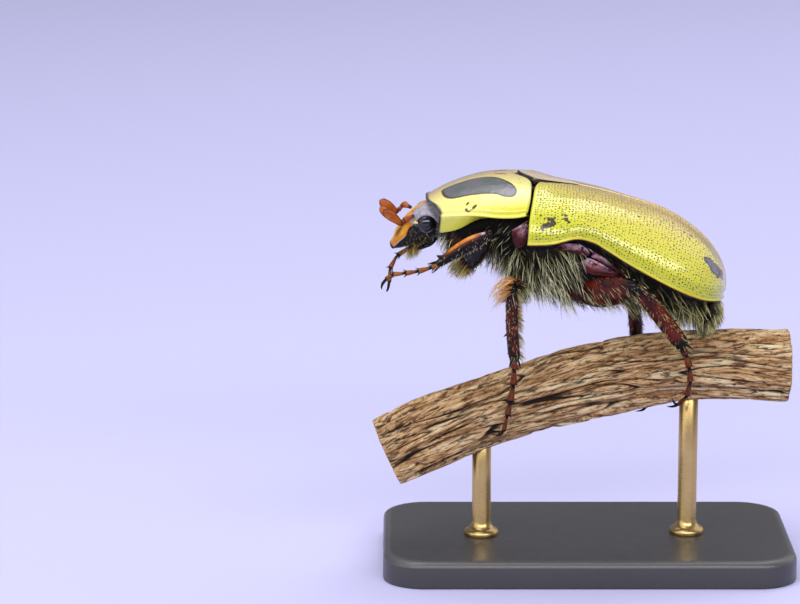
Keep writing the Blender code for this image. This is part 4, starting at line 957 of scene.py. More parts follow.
def elytron_surface(u, v):
    """The left elytron's outer face: u runs from front to tip, v from the suture to the outer margin."""
    front = ELYTRON_FRONT + ELYTRON_FRONT_BOW * np.where(v < 0.5, 1 - (1 - 2 * v) ** 6, np.sin(np.pi * v))
    share = 0.15 * u + 0.85 * np.sin(u * np.pi / 2)
    x = front + (ELYTRON_REAR - front) * share
    width, top, low = half_width(x), crest(x), along(MARGIN_Z, x)
    inner = np.minimum(elytron_inner_edge(x), 0.6 * width)
    start = np.arcsin((inner / width) ** (SECTION_POWER / 2))
    turn = start + (np.pi / 2 - start) * v
    y = width * np.sin(turn) ** (2 / SECTION_POWER)
    z = low + (top - low) * np.maximum(np.cos(turn), 0) ** (2 / SECTION_POWER)
    z = z + bump(x, y, SHOULDER_BUMP) + bump(x, y, APICAL_BUMP)
    return np.stack((x, y, z), axis=-1)


def pronotum_rear(y):
    notch = NOTCH_DEPTH * np.exp(-np.abs(y / NOTCH_HALF_WIDTH) ** 2.5)
    return PRONOTUM_REAR - PRONOTUM_REAR_SWEEP * (y / PRONOTUM_WIDEST) ** 2 + notch


def pronotum_surface(u, v):
    """u runs from front to rear, v from the right lower edge at -1.9 over the top to the left at 1.9."""
    turn = np.clip(v, -1, 1) * np.pi / 2
    spread = power(np.sin(turn), 0.9)
    front = PRONOTUM_FRONT - PRONOTUM_FRONT_SWEEP * np.abs(spread) ** 4
    x = front + (pronotum_rear(PRONOTUM_WIDEST * spread) - front) * u
    side = along(PRONOTUM_SIDE_Z, x)
    y = along(PRONOTUM_HALF_WIDTH, x) * spread
    z = side + (along(PRONOTUM_CREST, x) - side) * np.maximum(np.cos(turn), 0) ** 0.95
    under = np.maximum(np.abs(v) - 1, 0)
    x = x - 0.22 * under * (1 - u)
    z = z - under * along(FLANGE_DEPTH, x)
    y = y - np.sign(y) * under * along(FLANGE_INWARD, x)
    return np.stack((x, y, z), axis=-1)


def belly(x, width, top, middle, bottom, turn):
    """A closed section of the body; turn is in radians, 0 at the left and a quarter turn at the top."""
    rise = power(np.sin(turn), 0.9)
    z = middle + np.where(rise > 0, (top - middle) * rise, (middle - bottom) * rise)
    return np.stack((np.broadcast_to(x, z.shape), width * power(np.cos(turn), 0.9), z), axis=-1)


def thorax_section(x, turn):
    front = np.clip((x + 3.0) / 2.2, 0, 1)
    width = half_width(np.minimum(x, -1.6)) - UNDER_SHELL - 0.5 * front
    top = np.minimum(crest(x), along(PRONOTUM_CREST, np.maximum(x, -1.0))) - UNDER_SHELL - 0.3 * front
    return belly(x, width, top, along(MARGIN_Z, np.minimum(x, -1.6)) - 0.4, along(BELLY_Z, x), turn)


def abdomen_section(x, turn, step=0.0):
    behind = x - UNDER_SHELL
    width = np.maximum(np.minimum(half_width(x) - UNDER_SHELL, half_width(behind)) - step, 0.8)
    top = np.minimum(crest(x) - UNDER_SHELL, crest(behind))
    return belly(x, width, top, along(MARGIN_Z, x) - 0.35, along(BELLY_Z, x) + step, turn)


def chest_section(x, turn):
    width = along(PRONOTUM_HALF_WIDTH, x) - PRONOTUM_WALL - 0.8
    top = along(PRONOTUM_CREST, x) - PRONOTUM_WALL - 0.4
    return belly(x, width, top, along(PRONOTUM_SIDE_Z, x) - 0.5, along(CHEST_Z, x), turn)


def head_section(s, turn):
    width, depth, top = along(HEAD_HALF_WIDTH, s), along(HEAD_DEPTH, s), along(HEAD_TOP, s)
    z = top - 0.5 * depth + 0.5 * depth * power(np.sin(turn), 0.9)
    return np.stack((np.broadcast_to(s, z.shape), width * power(np.cos(turn), 0.85), z), axis=-1)


# Plates of the back


def spaced(count):
    """Places from 0 to 1, closer together near the ends."""
    t = np.linspace(0, 1, count)
    return 0.5 * t + 0.5 * 0.5 * (1 - np.cos(np.pi * t))


def side_distances(grid):
    """How far each point of a grid is from its first row, last row, first column and last column."""
    down = np.zeros(grid.shape[:2])
    over = np.zeros(grid.shape[:2])
    down[1:] = np.cumsum(np.linalg.norm(np.diff(grid, axis=0), axis=2), axis=0)
    over[:, 1:] = np.cumsum(np.linalg.norm(np.diff(grid, axis=1), axis=2), axis=1)
    return down, down[-1:] - down, over, over[:, -1:] - over


def grid_normals(grid):
    normal = unit(np.cross(np.gradient(grid, axis=0), np.gradient(grid, axis=1)))
    return normal if normal[len(grid) // 2, grid.shape[1] // 4, 2] > 0 else -normal


def mirrored(shape):
    return {**shape, "points": shape["points"] * (1, -1, 1)}


ELYTRON_MARKS = (  # places on the left elytron and their reach
    ((-2.04, 5.82, -2.85), 0.11), ((-2.1, 5.78, -2.7), 0.17), ((-2.24, 5.73, -2.54), 0.21),
    ((-2.46, 5.7, -2.38), 0.22), ((-2.69, 5.64, -2.18), 0.21), ((-2.6, 5.54, -2.04), 0.17),
    ((-2.33, 5.46, -2.0), 0.14), ((-2.12, 5.43, -2.01), 0.08), ((-2.73, 5.4, -1.8), 0.08),
    ((-1.75, 5.28, -1.9), 0.11), ((-3.53, 5.48, -1.7), 0.16), ((-3.23, 5.25, -1.48), 0.08),
    ((-3.76, 5.62, -1.82), 0.1), ((-3.49, 5.33, -1.52), 0.11), ((-14.23, 3.67, -2.47), 0.26),
    ((-14.55, 3.49, -2.62), 0.42), ((-14.87, 3.35, -2.9), 0.52), ((-15.28, 3.01, -3.17), 0.52),
    ((-15.74, 2.38, -3.45), 0.42), ((-8.77, 3.48, -0.65), 0.07), ((-12.3, 2.82, -1.04), 0.1),
    ((-12.83, 2.75, -1.17), 0.11), ((-12.72, 3.24, -1.35), 0.08),
)


def lipped(rise, edges):
    """A relief lowered towards each edge for a rounded lip; edges are (distance, radius, depth)."""
    for distance, radius, depth in edges:
        rise = rise - depth * (1 - np.clip(distance / radius, 0, 1)) ** 2
    return rise


def rim_value(*edges):
    """1 at the edges, falling to 0 over their breadths; edges are (distance, breadth)."""
    return np.clip(np.maximum.reduce([1 - distance / breadth for distance, breadth in edges]), 0, 1)


def marked(points, marks, spot=-1.0):
    """The value "spot": how far each point is inside the nearest mark, above 0 within its reach."""
    for place, reach in marks:
        spot = np.maximum(spot, reach - np.linalg.norm(points - place, axis=-1))
    return spot


def build_elytra(paint):
    u, v = np.meshgrid(*(spaced(count) for count in ELYTRON_GRID), indexing="ij")
    outer = elytron_surface(u, v)
    front, rear, suture, margin = side_distances(outer)
    x = outer[..., 0]
    rolled = 0.08 * hill(margin, 0.13, 0.09) - 0.04 * hill(margin, 0.38, 0.12)
    seam = 0.07 * hill(suture, 0.42, 0.26) * smoothstep(-x, 5, 9)
    ribs = 0.03 * (hill(v, 0.36, 0.04) + hill(v, 0.6, 0.035))
    ribs = ribs * smoothstep(u, 0.06, 0.2) * smoothstep(u, 0.92, 0.75)
    rise = rolled + seam + ribs + 0.03 * wobble(outer, 0.3)
    rise = lipped(rise, ((margin, 0.1, 0.1), (suture, 0.16, 0.14), (front, 0.18, 0.16), (rear, 0.2, 0.2)))
    shape = plate(
        outer + grid_normals(outer) * rise[..., None], SHELL * (0.2 + 0.8 * smoothstep(rear, 0, 1.2)),
        across=np.clip(v + 0.3 * smoothstep(x, -5.5, -1.5), 0, 1), grain_x=front, grain_y=margin,
        dotted=smoothstep(margin, 0.2, 0.35) * smoothstep(suture, 0.1, 0.3) * smoothstep(front, 0.15, 0.4),
        spot=marked(outer, ELYTRON_MARKS),
        rim=rim_value((front, 0.06), (suture, 0.13), (margin, 0.07), (rear, 0.1)),
        warm=0.8 * hill(margin, 0.1, 0.06),
        # painted shade on the downturned side below the fold, with a greener tone of the wing case's own
        low=0.7 * smoothstep(margin, 1.25, 0.85) * smoothstep(margin, 0.15, 0.3),
    )
    make_pair("elytron_{}_case", shape, paint, "elytron_{}")


BLOB = (  # the big mark's outline: place along the body and distance over the surface from the midline
    (5.3, 1.29), (5.18, 0.86), (4.54, 0.84), (3.61, 0.98), (2.84, 1.06), (2.07, 1.4), (1.46, 2.01),
    (0.74, 2.96), (0.35, 3.68), (0.21, 4.35), (0.32, 4.73), (0.6, 4.85), (1.11, 4.66), (1.64, 4.29),
    (2.33, 4.02), (3.0, 3.76), (3.67, 3.47), (4.23, 3.22), (4.71, 2.87), (5.12, 2.21),
)
HOOK = ((3.45, 4.55), (3.26, 4.83), (3.07, 4.85), (2.93, 4.79))
HOOK_HALF_BREADTH = 0.05
PRONOTUM_DOTS = (
    ((3.41, 4.23), 0.1), ((2.9, 4.76), 0.14), ((0.15, 2.33), 0.06), ((0.04, 2.96), 0.05),
    ((1.71, 0.56), 0.14), ((1.41, 0.65), 0.18), ((1.15, 0.78), 0.15),
)


def line_distance(points, line):
    """The distance of each point to a line of straight stretches, in two dimensions."""
    best = np.full(points.shape[:-1], 1e9)
    for a, b in zip(line[:-1], line[1:]):
        t = np.clip(((points - a) @ (b - a)) / max((b - a) @ (b - a), 1e-12), 0, 1)
        best = np.minimum(best, np.linalg.norm(points - a - t[..., None] * (b - a), axis=-1))
    return best


def inside_distance(points, outline):
    """The distance to a closed outline, above 0 inside it."""
    inside = np.zeros(points.shape[:-1], bool)
    for a, b in zip(outline[:-1], outline[1:]):
        crosses = (a[1] > points[..., 1]) != (b[1] > points[..., 1])
        height = (points[..., 1] - a[1]) / np.where(b[1] == a[1], 1e-9, b[1] - a[1])
        inside ^= crosses & (points[..., 0] < a[0] + height * (b[0] - a[0]))
    return np.where(inside, 1, -1) * line_distance(points, outline)


def build_pronotum(paint):
    lengths = (np.linspace(0, 0.9, 95), np.linspace(0.9, 1.0, 22)[1:], np.linspace(1.0, 1.9, 26)[1:])
    half_line = np.concatenate(lengths)
    middle, fold = len(half_line) - 1, int(np.argmin(np.abs(half_line - 1)))
    u, v = np.meshgrid(spaced(170), np.concatenate((-half_line[:0:-1], half_line)), indexing="ij")
    outer = pronotum_surface(u, v)
    front, rear, right, left = side_distances(outer)
    edge = np.minimum(right, left)
    across = np.abs(right - right[:, middle:middle + 1])
    beyond = across - across[:, middle + fold:middle + fold + 1]
    rolled = 0.08 * hill(beyond, 0.02, 0.09) - 0.05 * hill(beyond, -0.2, 0.1)
    rise = rolled + (0.08 * hill(front, 0.12, 0.09) + 0.025 * wobble(outer, 0.35, 1))
    rise = lipped(rise, ((front, 0.12, 0.12), (rear, 0.22, 0.2), (edge, 0.15, 0.12)))
    flat = np.stack((outer[..., 0], across), axis=-1)
    blob = inside_distance(flat, smooth_path(np.array(BLOB + BLOB[:1]), 4))
    hook = HOOK_HALF_BREADTH - line_distance(flat, smooth_path(HOOK, 4))
    wall = PRONOTUM_WALL - 0.53 * smoothstep(beyond, -0.7, -0.05)
    shape = plate(
        outer + grid_normals(outer) * rise[..., None], wall * (0.22 + 0.78 * smoothstep(front, 0.1, 1.6)),
        across=np.clip(across / 6.5, 0, 1), grain_x=front, grain_y=edge,
        dotted=0.4 * smoothstep(across, 2.5, 5.0) * smoothstep(beyond, -0.2, -0.5),
        spot=marked(flat, PRONOTUM_DOTS, np.maximum(blob, hook)),
        rim=rim_value((front, 0.6), (rear, 0.09), (edge, 0.08)),
        # painted shade on the flange turned under below the fold
        low=0.75 * smoothstep(beyond, 0.05, 0.35),
    )
    make_piece("pronotum_shield", placed(shape, in_stand), paint, ["pronotum"])


def build_scutellum(paint):
    front_y = np.linspace(-1, 1, 61) * SCUTELLUM_HALF_WIDTH
    front = np.stack((pronotum_rear(front_y) - 0.14, front_y), axis=1)
    back = SCUTELLUM_CORNER_X + (SCUTELLUM_TIP - SCUTELLUM_CORNER_X) * np.linspace(0.03, 1, 60)
    left = np.stack((back, scutellum_half_width(back) + 0.05), axis=1)
    edge = np.concatenate((front, left, (left * (1, -1))[::-1]))
    middle = np.array((-2.0, 0.0))
    rings = []
    for share, drop in SCUTELLUM_RINGS:
        flat = middle + (edge - middle) * share
        rings.append(np.column_stack((flat, crest(flat[:, 0]) + 0.05 - drop)))
    rim = [float(share > 0.94) for share, _ in SCUTELLUM_RINGS]
    shape = loft(rings, rim=rim, spot=np.full(len(rings), -1.0))
    shape["values"]["across"] = np.abs(shape["points"][:, 1]) / 2
    make_piece("scutellum_plate", placed(shape, in_stand), paint, ["scutellum"])


def scute(outline, across, bulge):
    """A domed plate at the left side; its outline is given as (x, z), and it bends in towards its ends."""
    edge = smooth_path(np.array(outline + outline[:1]), 14)[:-1]
    middle = edge.mean(0)
    rings = []
    for share, rise, _ in SCUTE_RINGS:
        flat = middle + (edge - middle) * share
        bend = 0.09 * ((flat - middle) ** 2).sum(1)
        high = rise if rise < 0.03 else rise / SCUTE_RINGS[-1][1] * bulge
        rings.append(np.column_stack((flat[:, 0], across + high - bend, flat[:, 1])))
    shape = loft(rings, dark=[ring[2] for ring in SCUTE_RINGS])
    high = shape["points"][:, 2]
    share = (high - high.min()) / np.ptp(high)
    # painted sheen: lilac on the upper part of each plate, where it faces the light, kept off its dark rim
    shape["values"]["bloom"] = SCUTE_PAINTED_SHEEN * smoothstep(share, 0.3, 0.9) * (1 - shape["values"]["dark"])
    return shape


def build_side_plates(paint):
    """The plates beside the shoulder and under the bay in the wing cases."""
    for name, plates in (("mesepimeron", (MESEPIMERON,)), ("metepimeron", METEPIMERA)):
        shape = join([scute(*one) for one in plates])
        make_pair(name + "_{}_plate", shape, paint, name + "_{}")


def build_pygidium(paint):
    """The last plate of the back, below the tips of the wing cases."""
    down, over = np.meshgrid(spaced(50), np.linspace(-1, 1, 81), indexing="ij")
    half, back = along(PYGIDIUM_HALF_WIDTH, down), along(PYGIDIUM_X, down)
    height = PYGIDIUM_TOP - PYGIDIUM_HEIGHT * down
    outer = np.stack((back - PYGIDIUM_BOW * (1 - over**2), half * over, height), axis=-1)
    dark = np.maximum(0.6 * smoothstep(down, 0.7, 1), smoothstep(np.abs(over), 0.6, 0.8))
    shape = placed(plate(outer[:, ::-1], np.full(down.shape, PYGIDIUM_WALL), dark=dark), in_stand)
    make_piece("pygidium_plate", shape, paint, ["pygidium"])
    places = dict(run=down, turn=0.5 + 0.5 * over[:, ::-1])
    shape["values"].update({key: np.tile(place.ravel(), 2) for key, place in places.items()})
    return shape


# Head


def capsule_form():
    """The head's shell, from the neck to the front of the clypeus, with a ridge before each eye."""
    rows, columns = HEAD_GRID
    lengthwise = np.linspace(0, HEAD_LENGTH, rows)
    turn = 2 * np.pi * (np.arange(columns) + 0.5) / columns
    rings = head_section(lengthwise[:, None], turn[None])
    y = rings[..., 1]
    s = np.broadcast_to(lengthwise[:, None], y.shape)
    side = np.abs(y / along(HEAD_HALF_WIDTH, lengthwise)[:, None])
    roof = np.broadcast_to(power(np.sin(turn), 0.9)[None], y.shape)
    keel = 0.1 * hill(y, 0, 0.22) * smoothstep(s, 0.5, 1.3) * smoothstep(s, 3.9, 3.2)
    front_lip = 0.1 * smoothstep(s, 4.0, 4.4)
    hollows = 0.12 * hill(side, 0.5, 0.25) * hill(s, 3.1, 0.9)
    crown = 0.06 * hill(s, 1.0, 0.6) * hill(side, 0.45, 0.3)
    ridge = 0.144 * hill(roof, 0.44, 0.13) * smoothstep(s, 1.9, 2.4) * smoothstep(s, 4.35, 4.0) * (roof > 0)
    rise = (keel + (front_lip - hollows) + crown) * smoothstep(roof, 0.2, 0.8)
    rings[..., 2] += rise + ridge + 0.02 * wobble(rings, 1.6, 2)
    rings[..., 1] += np.sign(y) * ridge

    warm = np.minimum(np.maximum(0.52 + 0.08 * s - np.abs(y), (s - 2.15) * 0.8), (roof - 0.26) * 2)
    oval = 0.85 * smoothstep(np.hypot((s - 3.3) / 0.62, (np.abs(y) - 0.66) / 0.3), 1.1, 0.5)
    cheek = smoothstep(roof - along(CHEEK_LINE, s), 0.06, -0.06) * smoothstep(s, 0.5, 1.0)
    values = dict(
        warm=warm, dark=np.maximum(smoothstep(s, 4.22, 4.34), cheek), pale=np.full(y.shape, -1.0), oval=oval,
        middle=smoothstep(np.abs(y), 0.3, 0.05),
    )
    last, centre, made = rings[-1], rings[-1].mean(0), [rings]
    for tilt in FRONT_TILTS:
        narrowed = (last - centre) * (1, 1 - 0.1 * tilt**2, math.sqrt(1 - tilt**2))
        made.append((narrowed + centre + np.array((0.1 * tilt, 0, 0)))[None])
    for key, value in values.items():
        values[key] = np.concatenate((value, np.repeat(value[-1:], len(FRONT_TILTS), 0)))
    return loft(np.concatenate(made), **values)


def eye_surround(sign):
    """The pale bar that cuts into the eye, and the swelling behind and above it."""
    path = np.array([(1.95, 1.45, -0.15), (1.86, 1.7, -0.18), (1.74, 1.98, -0.3), (1.6, 2.2, -0.45)])
    sizes = [(0.2, 0.1), (0.16, 0.1), (0.12, 0.09), (0.05, 0.05)]
    bar = tube(
        path * (1, sign, 1), sizes, (1, 0, 0.25), 24, 8, pale=(-1, 0.1, 0.3, 0.3), warm=(-1,) * 4,
        dark=(0.5, 0, 0, 0),
    )
    swell = (0.2, 0.6, 0.9, 1.0, 1.0, 0.9, 0.6, 0.2)
    around = np.radians(np.linspace(60, 220, len(swell)))
    path = [
        (EYE_AT[0] + 0.76 * math.cos(turn), 1.86 * sign, EYE_AT[2] + 0.74 * math.sin(turn)) for turn in around
    ]
    none = (-1,) * len(swell)
    brow = tube(path, [(0.42 * w, 0.24 * w) for w in swell], (0, 1, 0), 24, 8, pale=none, warm=none)
    return [bar, brow]


def mouth_forms():
    """The lower lip, and at each side a jaw and two jointed feelers of the mouth."""
    forms = [ball((2.0, 0, -1.98), (1.2, 0.8, 0.5), 24, 36, dark=0.8)]
    for sign in (1, -1):
        jaw = np.array([(1.9, 0.55, -2.15), (2.6, 0.62, -2.0), (3.3, 0.42, -1.55)]) * (1, sign, 1)
        sizes = [(0.26, 0.3), (0.3, 0.34), (0.12, 0.14)]
        forms.append(tube(jaw, sizes, (0, 1, 0), 20, 8, dark=(0.9, 0.9, 0.9)))
        for palp in MOUTH_PALPS:
            path = np.array(palp) * (1, sign, 1) + (-0.3, 0, 1.05)
            for low, high, size in zip(path[:-1], path[1:], (0.1, 0.13, 0.12)):
                line = [low, (low + high) / 2, high]
                sizes = [(size * share,) * 2 for share in (0.75, 1, 0.8)]
                forms.append(tube(line, sizes, (0, 0, 1), 14, 5, dark=(0.9, 0.6, 0.8)))
    return forms


def build_head(head_finish, eye_finish, mouth_finish):
    capsule = placed(join([capsule_form(), *eye_surround(1), *eye_surround(-1)]), head_to_stand)
    make_piece("head_capsule", capsule, head_finish, ["head"])
    for name, sign in (("left", 1), ("right", -1)):
        eye = placed(ball(np.array(EYE_AT) * (1, sign, 1), EYE_RADII, 48, 64), head_to_stand)
        make_piece(f"eye_{name}_ball", eye, eye_finish, [f"eye_{name}"])
    mouth = placed(join(mouth_forms()), head_to_stand)
    make_piece("mouthparts_fine", mouth, mouth_finish, ["mouthparts"])
    return capsule


def between(start, end, shares):
    """Places on the straight line from start to end."""
    return [start + (end - start) * share for share in shares]


def darken(limb, amount):
    """Adds to the value "dark" of a limb, up to 1."""
    limb["values"]["dark"] = np.clip(limb["values"]["dark"] + amount, 0, 1)


def antenna_beads(elbow, wrist):
    """The short round joints between the first joint and the club."""
    line = smooth_path([elbow, (elbow + wrist) / 2 + (0, 0, -0.05), wrist], 6)
    way = unit(wrist - elbow)
    wide = unit(np.cross(way, (0, 1, 0.3)))
    axes = (wide, np.cross(way, wide), way)
    beads = []
    for k, share in enumerate(np.linspace(0.08, 0.92, 6)):
        radius = 0.17 + 0.02 * (k % 2)
        place = line[int(round(share * (len(line) - 1)))]
        beads.append(ball(place, (radius, radius, 0.085), 12, 20, axes, dark=0.15 + 0.5 * (k % 2)))
    return beads


def antenna_club(wrist, tip):
    """Three leaves, one over the other, that fan out from the wrist and are dark at their edges."""
    lie, length = unit(tip - wrist), np.linalg.norm(tip - wrist)
    spread = unit(np.cross((0.1, 1.0, 0.2), lie))
    apart = np.cross(lie, spread)
    leaves = []
    for k, angle in enumerate(np.radians(LEAF_ANGLES)):
        turned = lie * math.cos(angle) + np.cross(spread, lie) * math.sin(angle)
        root = wrist + apart * (0.15 * (1 - k)) + spread * (0.05 * (k - 1))
        bow = apart * (0.1 * (1 - k))
        shares = (-0.06, 0.1, 0.35, 0.62, 0.86, 1.0 - 0.03 * k)
        path = [root + turned * (length * s) + bow * math.sin(math.pi * max(s, 0)) for s in shares]
        leaf = tube(path, LEAF_SIZES, spread, 40, 10, dark=(0.9, 0.35, 0.1, 0.0, 0.1, 0.45))
        darken(leaf, 0.95 * np.abs(np.cos(2 * np.pi * leaf["values"]["turn"])) ** 6)
        leaves.append(leaf)
    return leaves


def build_antennae(paint):
    for side, joints in ANTENNAE.items():
        base, elbow, wrist, tip = (from_body(p) for p in joints)
        first = tube(
            between(base, elbow, (0, 0.4, 0.8, 1)), [(0.13, 0.13), (0.17, 0.17), (0.25, 0.24), (0.16, 0.16)],
            (0, 0, 1), 24, 8, dark=(1, 0.1, 0.2, 0.9),
        )
        shape = join([first, *antenna_beads(elbow, wrist), *antenna_club(wrist, tip)])
        make_piece(f"antenna_{side}_fine", shape, paint, [f"antenna_{side}"])


# Legs


def spike(root, lie, length, radius, bend=(0, 0, 0)):
    """A thorn from a place on a limb; bend moves its tip."""
    root, lie, bend = np.asarray(root, float), unit(lie), np.asarray(bend, float)
    path = [
        root - lie * 0.08, root + lie * length * 0.35, root + lie * length * 0.7 + bend * 0.4,
        root + lie * length + bend,
    ]
    sizes = [(radius * share,) * 2 for share in (1, 0.85, 0.5, 0.12)]
    return tube(path, sizes, np.cross(lie, (0.3, 0.5, 0.81)), 12, 5, dark=(0.6, 0.9, 1, 1))


def build_femur(name, place, hip, knee, across, paint):
    broad, thick = FEMUR_SIZE[place]
    thigh = unit(knee - hip)
    sizes = [(broad * w, thick * (0.4 + 0.58 * w)) for w in FEMUR_SWELL[place]]
    path = between(hip + thigh * 0.05, knee - thigh * 0.05, (0, 0.1, 0.28, 0.5, 0.72, 0.9, 1))
    femur = tube(path, sizes, across, 56, 16, dark=(1, 0.3, 0.05, 0, 0.05, 0.35, 0.95))
    crease = np.cos(2 * np.pi * femur["values"]["turn"])
    darken(femur, 0.35 * smoothstep(-crease, 0.6, 1))
    if place == "front":
        darken(femur, 0.6)
    shape = join([femur, ball(hip + thigh * 0.1, (0.46, 0.46, 0.46), 20, 28, dark=0.8)])
    make_piece(f"femur_{name}_fine", shape, paint, [f"femur_{name}"])
    return femur


def build_tibia(name, place, knee, ankle, across, paint):
    """The shin, with its lengthwise ridges, the spurs at its end and the teeth of its outer edge."""
    shin = unit(ankle - knee)
    outward = unit(across - shin * (across @ shin))
    breadths, thin = TIBIA_BREADTH[place], TIBIA_THICKNESS[place]
    start = knee - shin * 0.02
    shares = (0, 0.07, 0.2, 0.42, 0.65, 0.9, 1)
    path = [start + (ankle - start) * s + outward * (0.1 * math.sin(math.pi * s)) for s in shares]
    sizes = [(breadth, thin * w) for breadth, w in zip(breadths, (0.7, 0.75, 0.85, 0.95, 1.0, 0.95, 0.75))]
    tibia = tube(path, sizes, across, 56, 18, dark=(1, 0.9, 0.1, 0, 0, 0.5, 1))
    values = tibia["values"]
    run = values["run"]
    if place == "front":
        upper = np.cos(2 * np.pi * (values["turn"] - 0.08))
        # painted light: orange along the upper, lit side of the front shin
        values["glow"] = smoothstep(run, 0.2, 0.4) * smoothstep(run, 0.85, 0.6) * smoothstep(upper, 0.0, 0.5)
        # painted sheen: pink on the upper side of the front shin near the knee
        bloom = smoothstep(run, 0.04, 0.1) * smoothstep(run, 0.42, 0.2) * smoothstep(upper, 0.0, 0.6)
        values["bloom"] = 0.8 * bloom
        # painted shade: the front shin's underside is darkened
        values["dark"] = np.maximum(values["dark"] * (run > 0.3), smoothstep(upper, 0.0, -0.7))
    middle = start + (ankle - start) * run[:, None]
    ridge = 1 + 0.05 * np.cos(10 * np.pi * values["turn"]) * np.sin(np.pi * run)
    tibia["points"] = middle + (tibia["points"] - middle) * ridge[:, None]

    wide, lower = breadths[5], -outward
    forms = [
        tibia, ball(knee, (0.34, 0.34, 0.34), 20, 28, dark=1.0),
        spike(ankle + outward * wide * 0.4, shin + outward * 0.35, 0.75, 0.11),
        spike(ankle + lower * wide * 0.4, shin + lower * 0.4, 0.85, 0.1, lower * -0.08),
        spike(ankle + lower * wide * 0.15, shin + lower * 0.15 + np.cross(shin, outward) * 0.3, 0.65, 0.09),
    ]
    for share, radius, length in TIBIA_TEETH["front" if place == "front" else "other"]:
        root = start + (ankle - start) * share + outward * (wide * 0.72)
        forms.append(spike(root, outward + shin * 0.75, length, radius * 0.36))
    make_piece(f"tibia_{name}_fine", join(forms), paint, [f"tibia_{name}"])
    return tibia


def claws(tip, way, hook):
    """A pair of curved claws at a foot's tip, with a short thorn between them."""
    sideways = unit(np.cross(way, hook))
    sizes = [(size, size) for size in (0.11, 0.1, 0.065, 0.012)]
    forms = []
    for sign in (1, -1):
        out = unit(hook + sideways * (0.55 * sign))
        path = [
            tip - way * 0.15, tip + out * 0.2 + way * 0.16, tip + out * 0.55 + way * 0.14,
            tip + out * 0.92 - way * 0.08,
        ]
        forms.append(tube(path, sizes, sideways, 14, 8, dark=(0.5, 0.8, 1, 1)))
    return [*forms, spike(tip + way * 0.02, way + hook * 0.3, 0.22, 0.03)]


def build_tarsus(name, place, ankle, leg, across, paint):
    """Five joints, each with a ring of short thorns at its end, and the claws."""
    foot = [from_body(p) for p in leg["foot"]]
    joints = [ankle + unit(foot[0] - ankle) * 0.05, *foot]
    first_girth = 0.215 if place == "front" else 0.265
    # painted orange light in the middle of each joint of the foot, most on the front feet
    glow = (0.15, 0.4, 0.4, 0.15) if place == "front" else (0.0, 0.12, 0.12, 0.0)
    forms = []
    for k, (a, b) in enumerate(zip(joints[:-1], joints[1:])):
        way = unit(b - a)
        last = k == len(foot) - 1
        girth = 0.17 if last else first_girth - 0.012 * k
        sizes = [(girth * w, girth * t) for w, t in ((0.5, 0.5), (0.72, 0.7), (1, 0.95), (0.86, 0.8))]
        path = between(a, b, (0.04, 0.35, 0.8, 0.98 if last else 0.93))
        forms.append(tube(path, sizes, across, 20, 7, dark=(0.95, 0.1, 0.1, 0.95), glow=glow))
        if last:
            continue
        wide = unit(across - way * (across @ way))
        other = np.cross(way, wide)
        for turn in THORN_TURNS:
            out = wide * math.cos(turn) + other * math.sin(turn)
            forms.append(spike(a + (b - a) * 0.88 + out * girth * 0.75, way + out * 0.7, 0.3, 0.042))
    forms += claws(joints[-1], unit(joints[-1] - joints[-2]), unit(leg["claws"]))
    make_piece(f"tarsus_{name}_fine", join(forms), paint, [f"tarsus_{name}"])


def build_leg(name, paint):
    leg, place = LEGS[name], name.split("_")[0]
    hip, knee, ankle = (from_body(leg[joint]) for joint in ("hip", "knee", "ankle"))
    across = np.array(leg["across"], float)
    femur = build_femur(name, place, hip, knee, across, paint)
    tibia = build_tibia(name, place, knee, ankle, across, paint)
    build_tarsus(name, place, ankle, leg, across, paint)
    return dict(femur=femur, tibia=tibia)


# Branch and stand


def bark_relief(run, turn):
    """How much the bark is cracked at each place, and how far it stands out there."""
    twist = turn + 0.028 * run
    flat = turn * 0 + run
    round_ = np.stack((PERCH_RADIUS * np.cos(twist), PERCH_RADIUS * np.sin(twist)), axis=-1)

    def grain(lengthwise, around, seed):
        """Noise drawn out along the branch: its scale is per millimetre, along and round."""
        return wobble(np.concatenate(((flat * lengthwise)[..., None], round_ * around), axis=-1), 1.0, seed)

    gate = smoothstep(grain(0.16, 0.5, 8), -0.15, 0.2)
    wide, middle, fine = (np.abs(grain(*scale)) for scale in CRACK_GRAINS)
    crack = np.maximum.reduce([
        smoothstep(wide, 0.06, 0.0) * (0.4 + 0.6 * gate), smoothstep(middle, 0.09, 0.0) * (1 - 0.4 * gate),
        0.65 * smoothstep(fine, 0.12, 0.0),
    ])
    strips = 0.5 * np.clip(wide, 0, 0.3) + 0.4 * np.clip(middle, 0, 0.25) + 0.2 * np.clip(fine, 0, 0.25)
    rough = 0.14 * grain(0.09, 0.4, 7) + 0.04 * grain(0.9, 3.2, 9)
    return crack, strips + rough - 0.28 * crack - 0.13


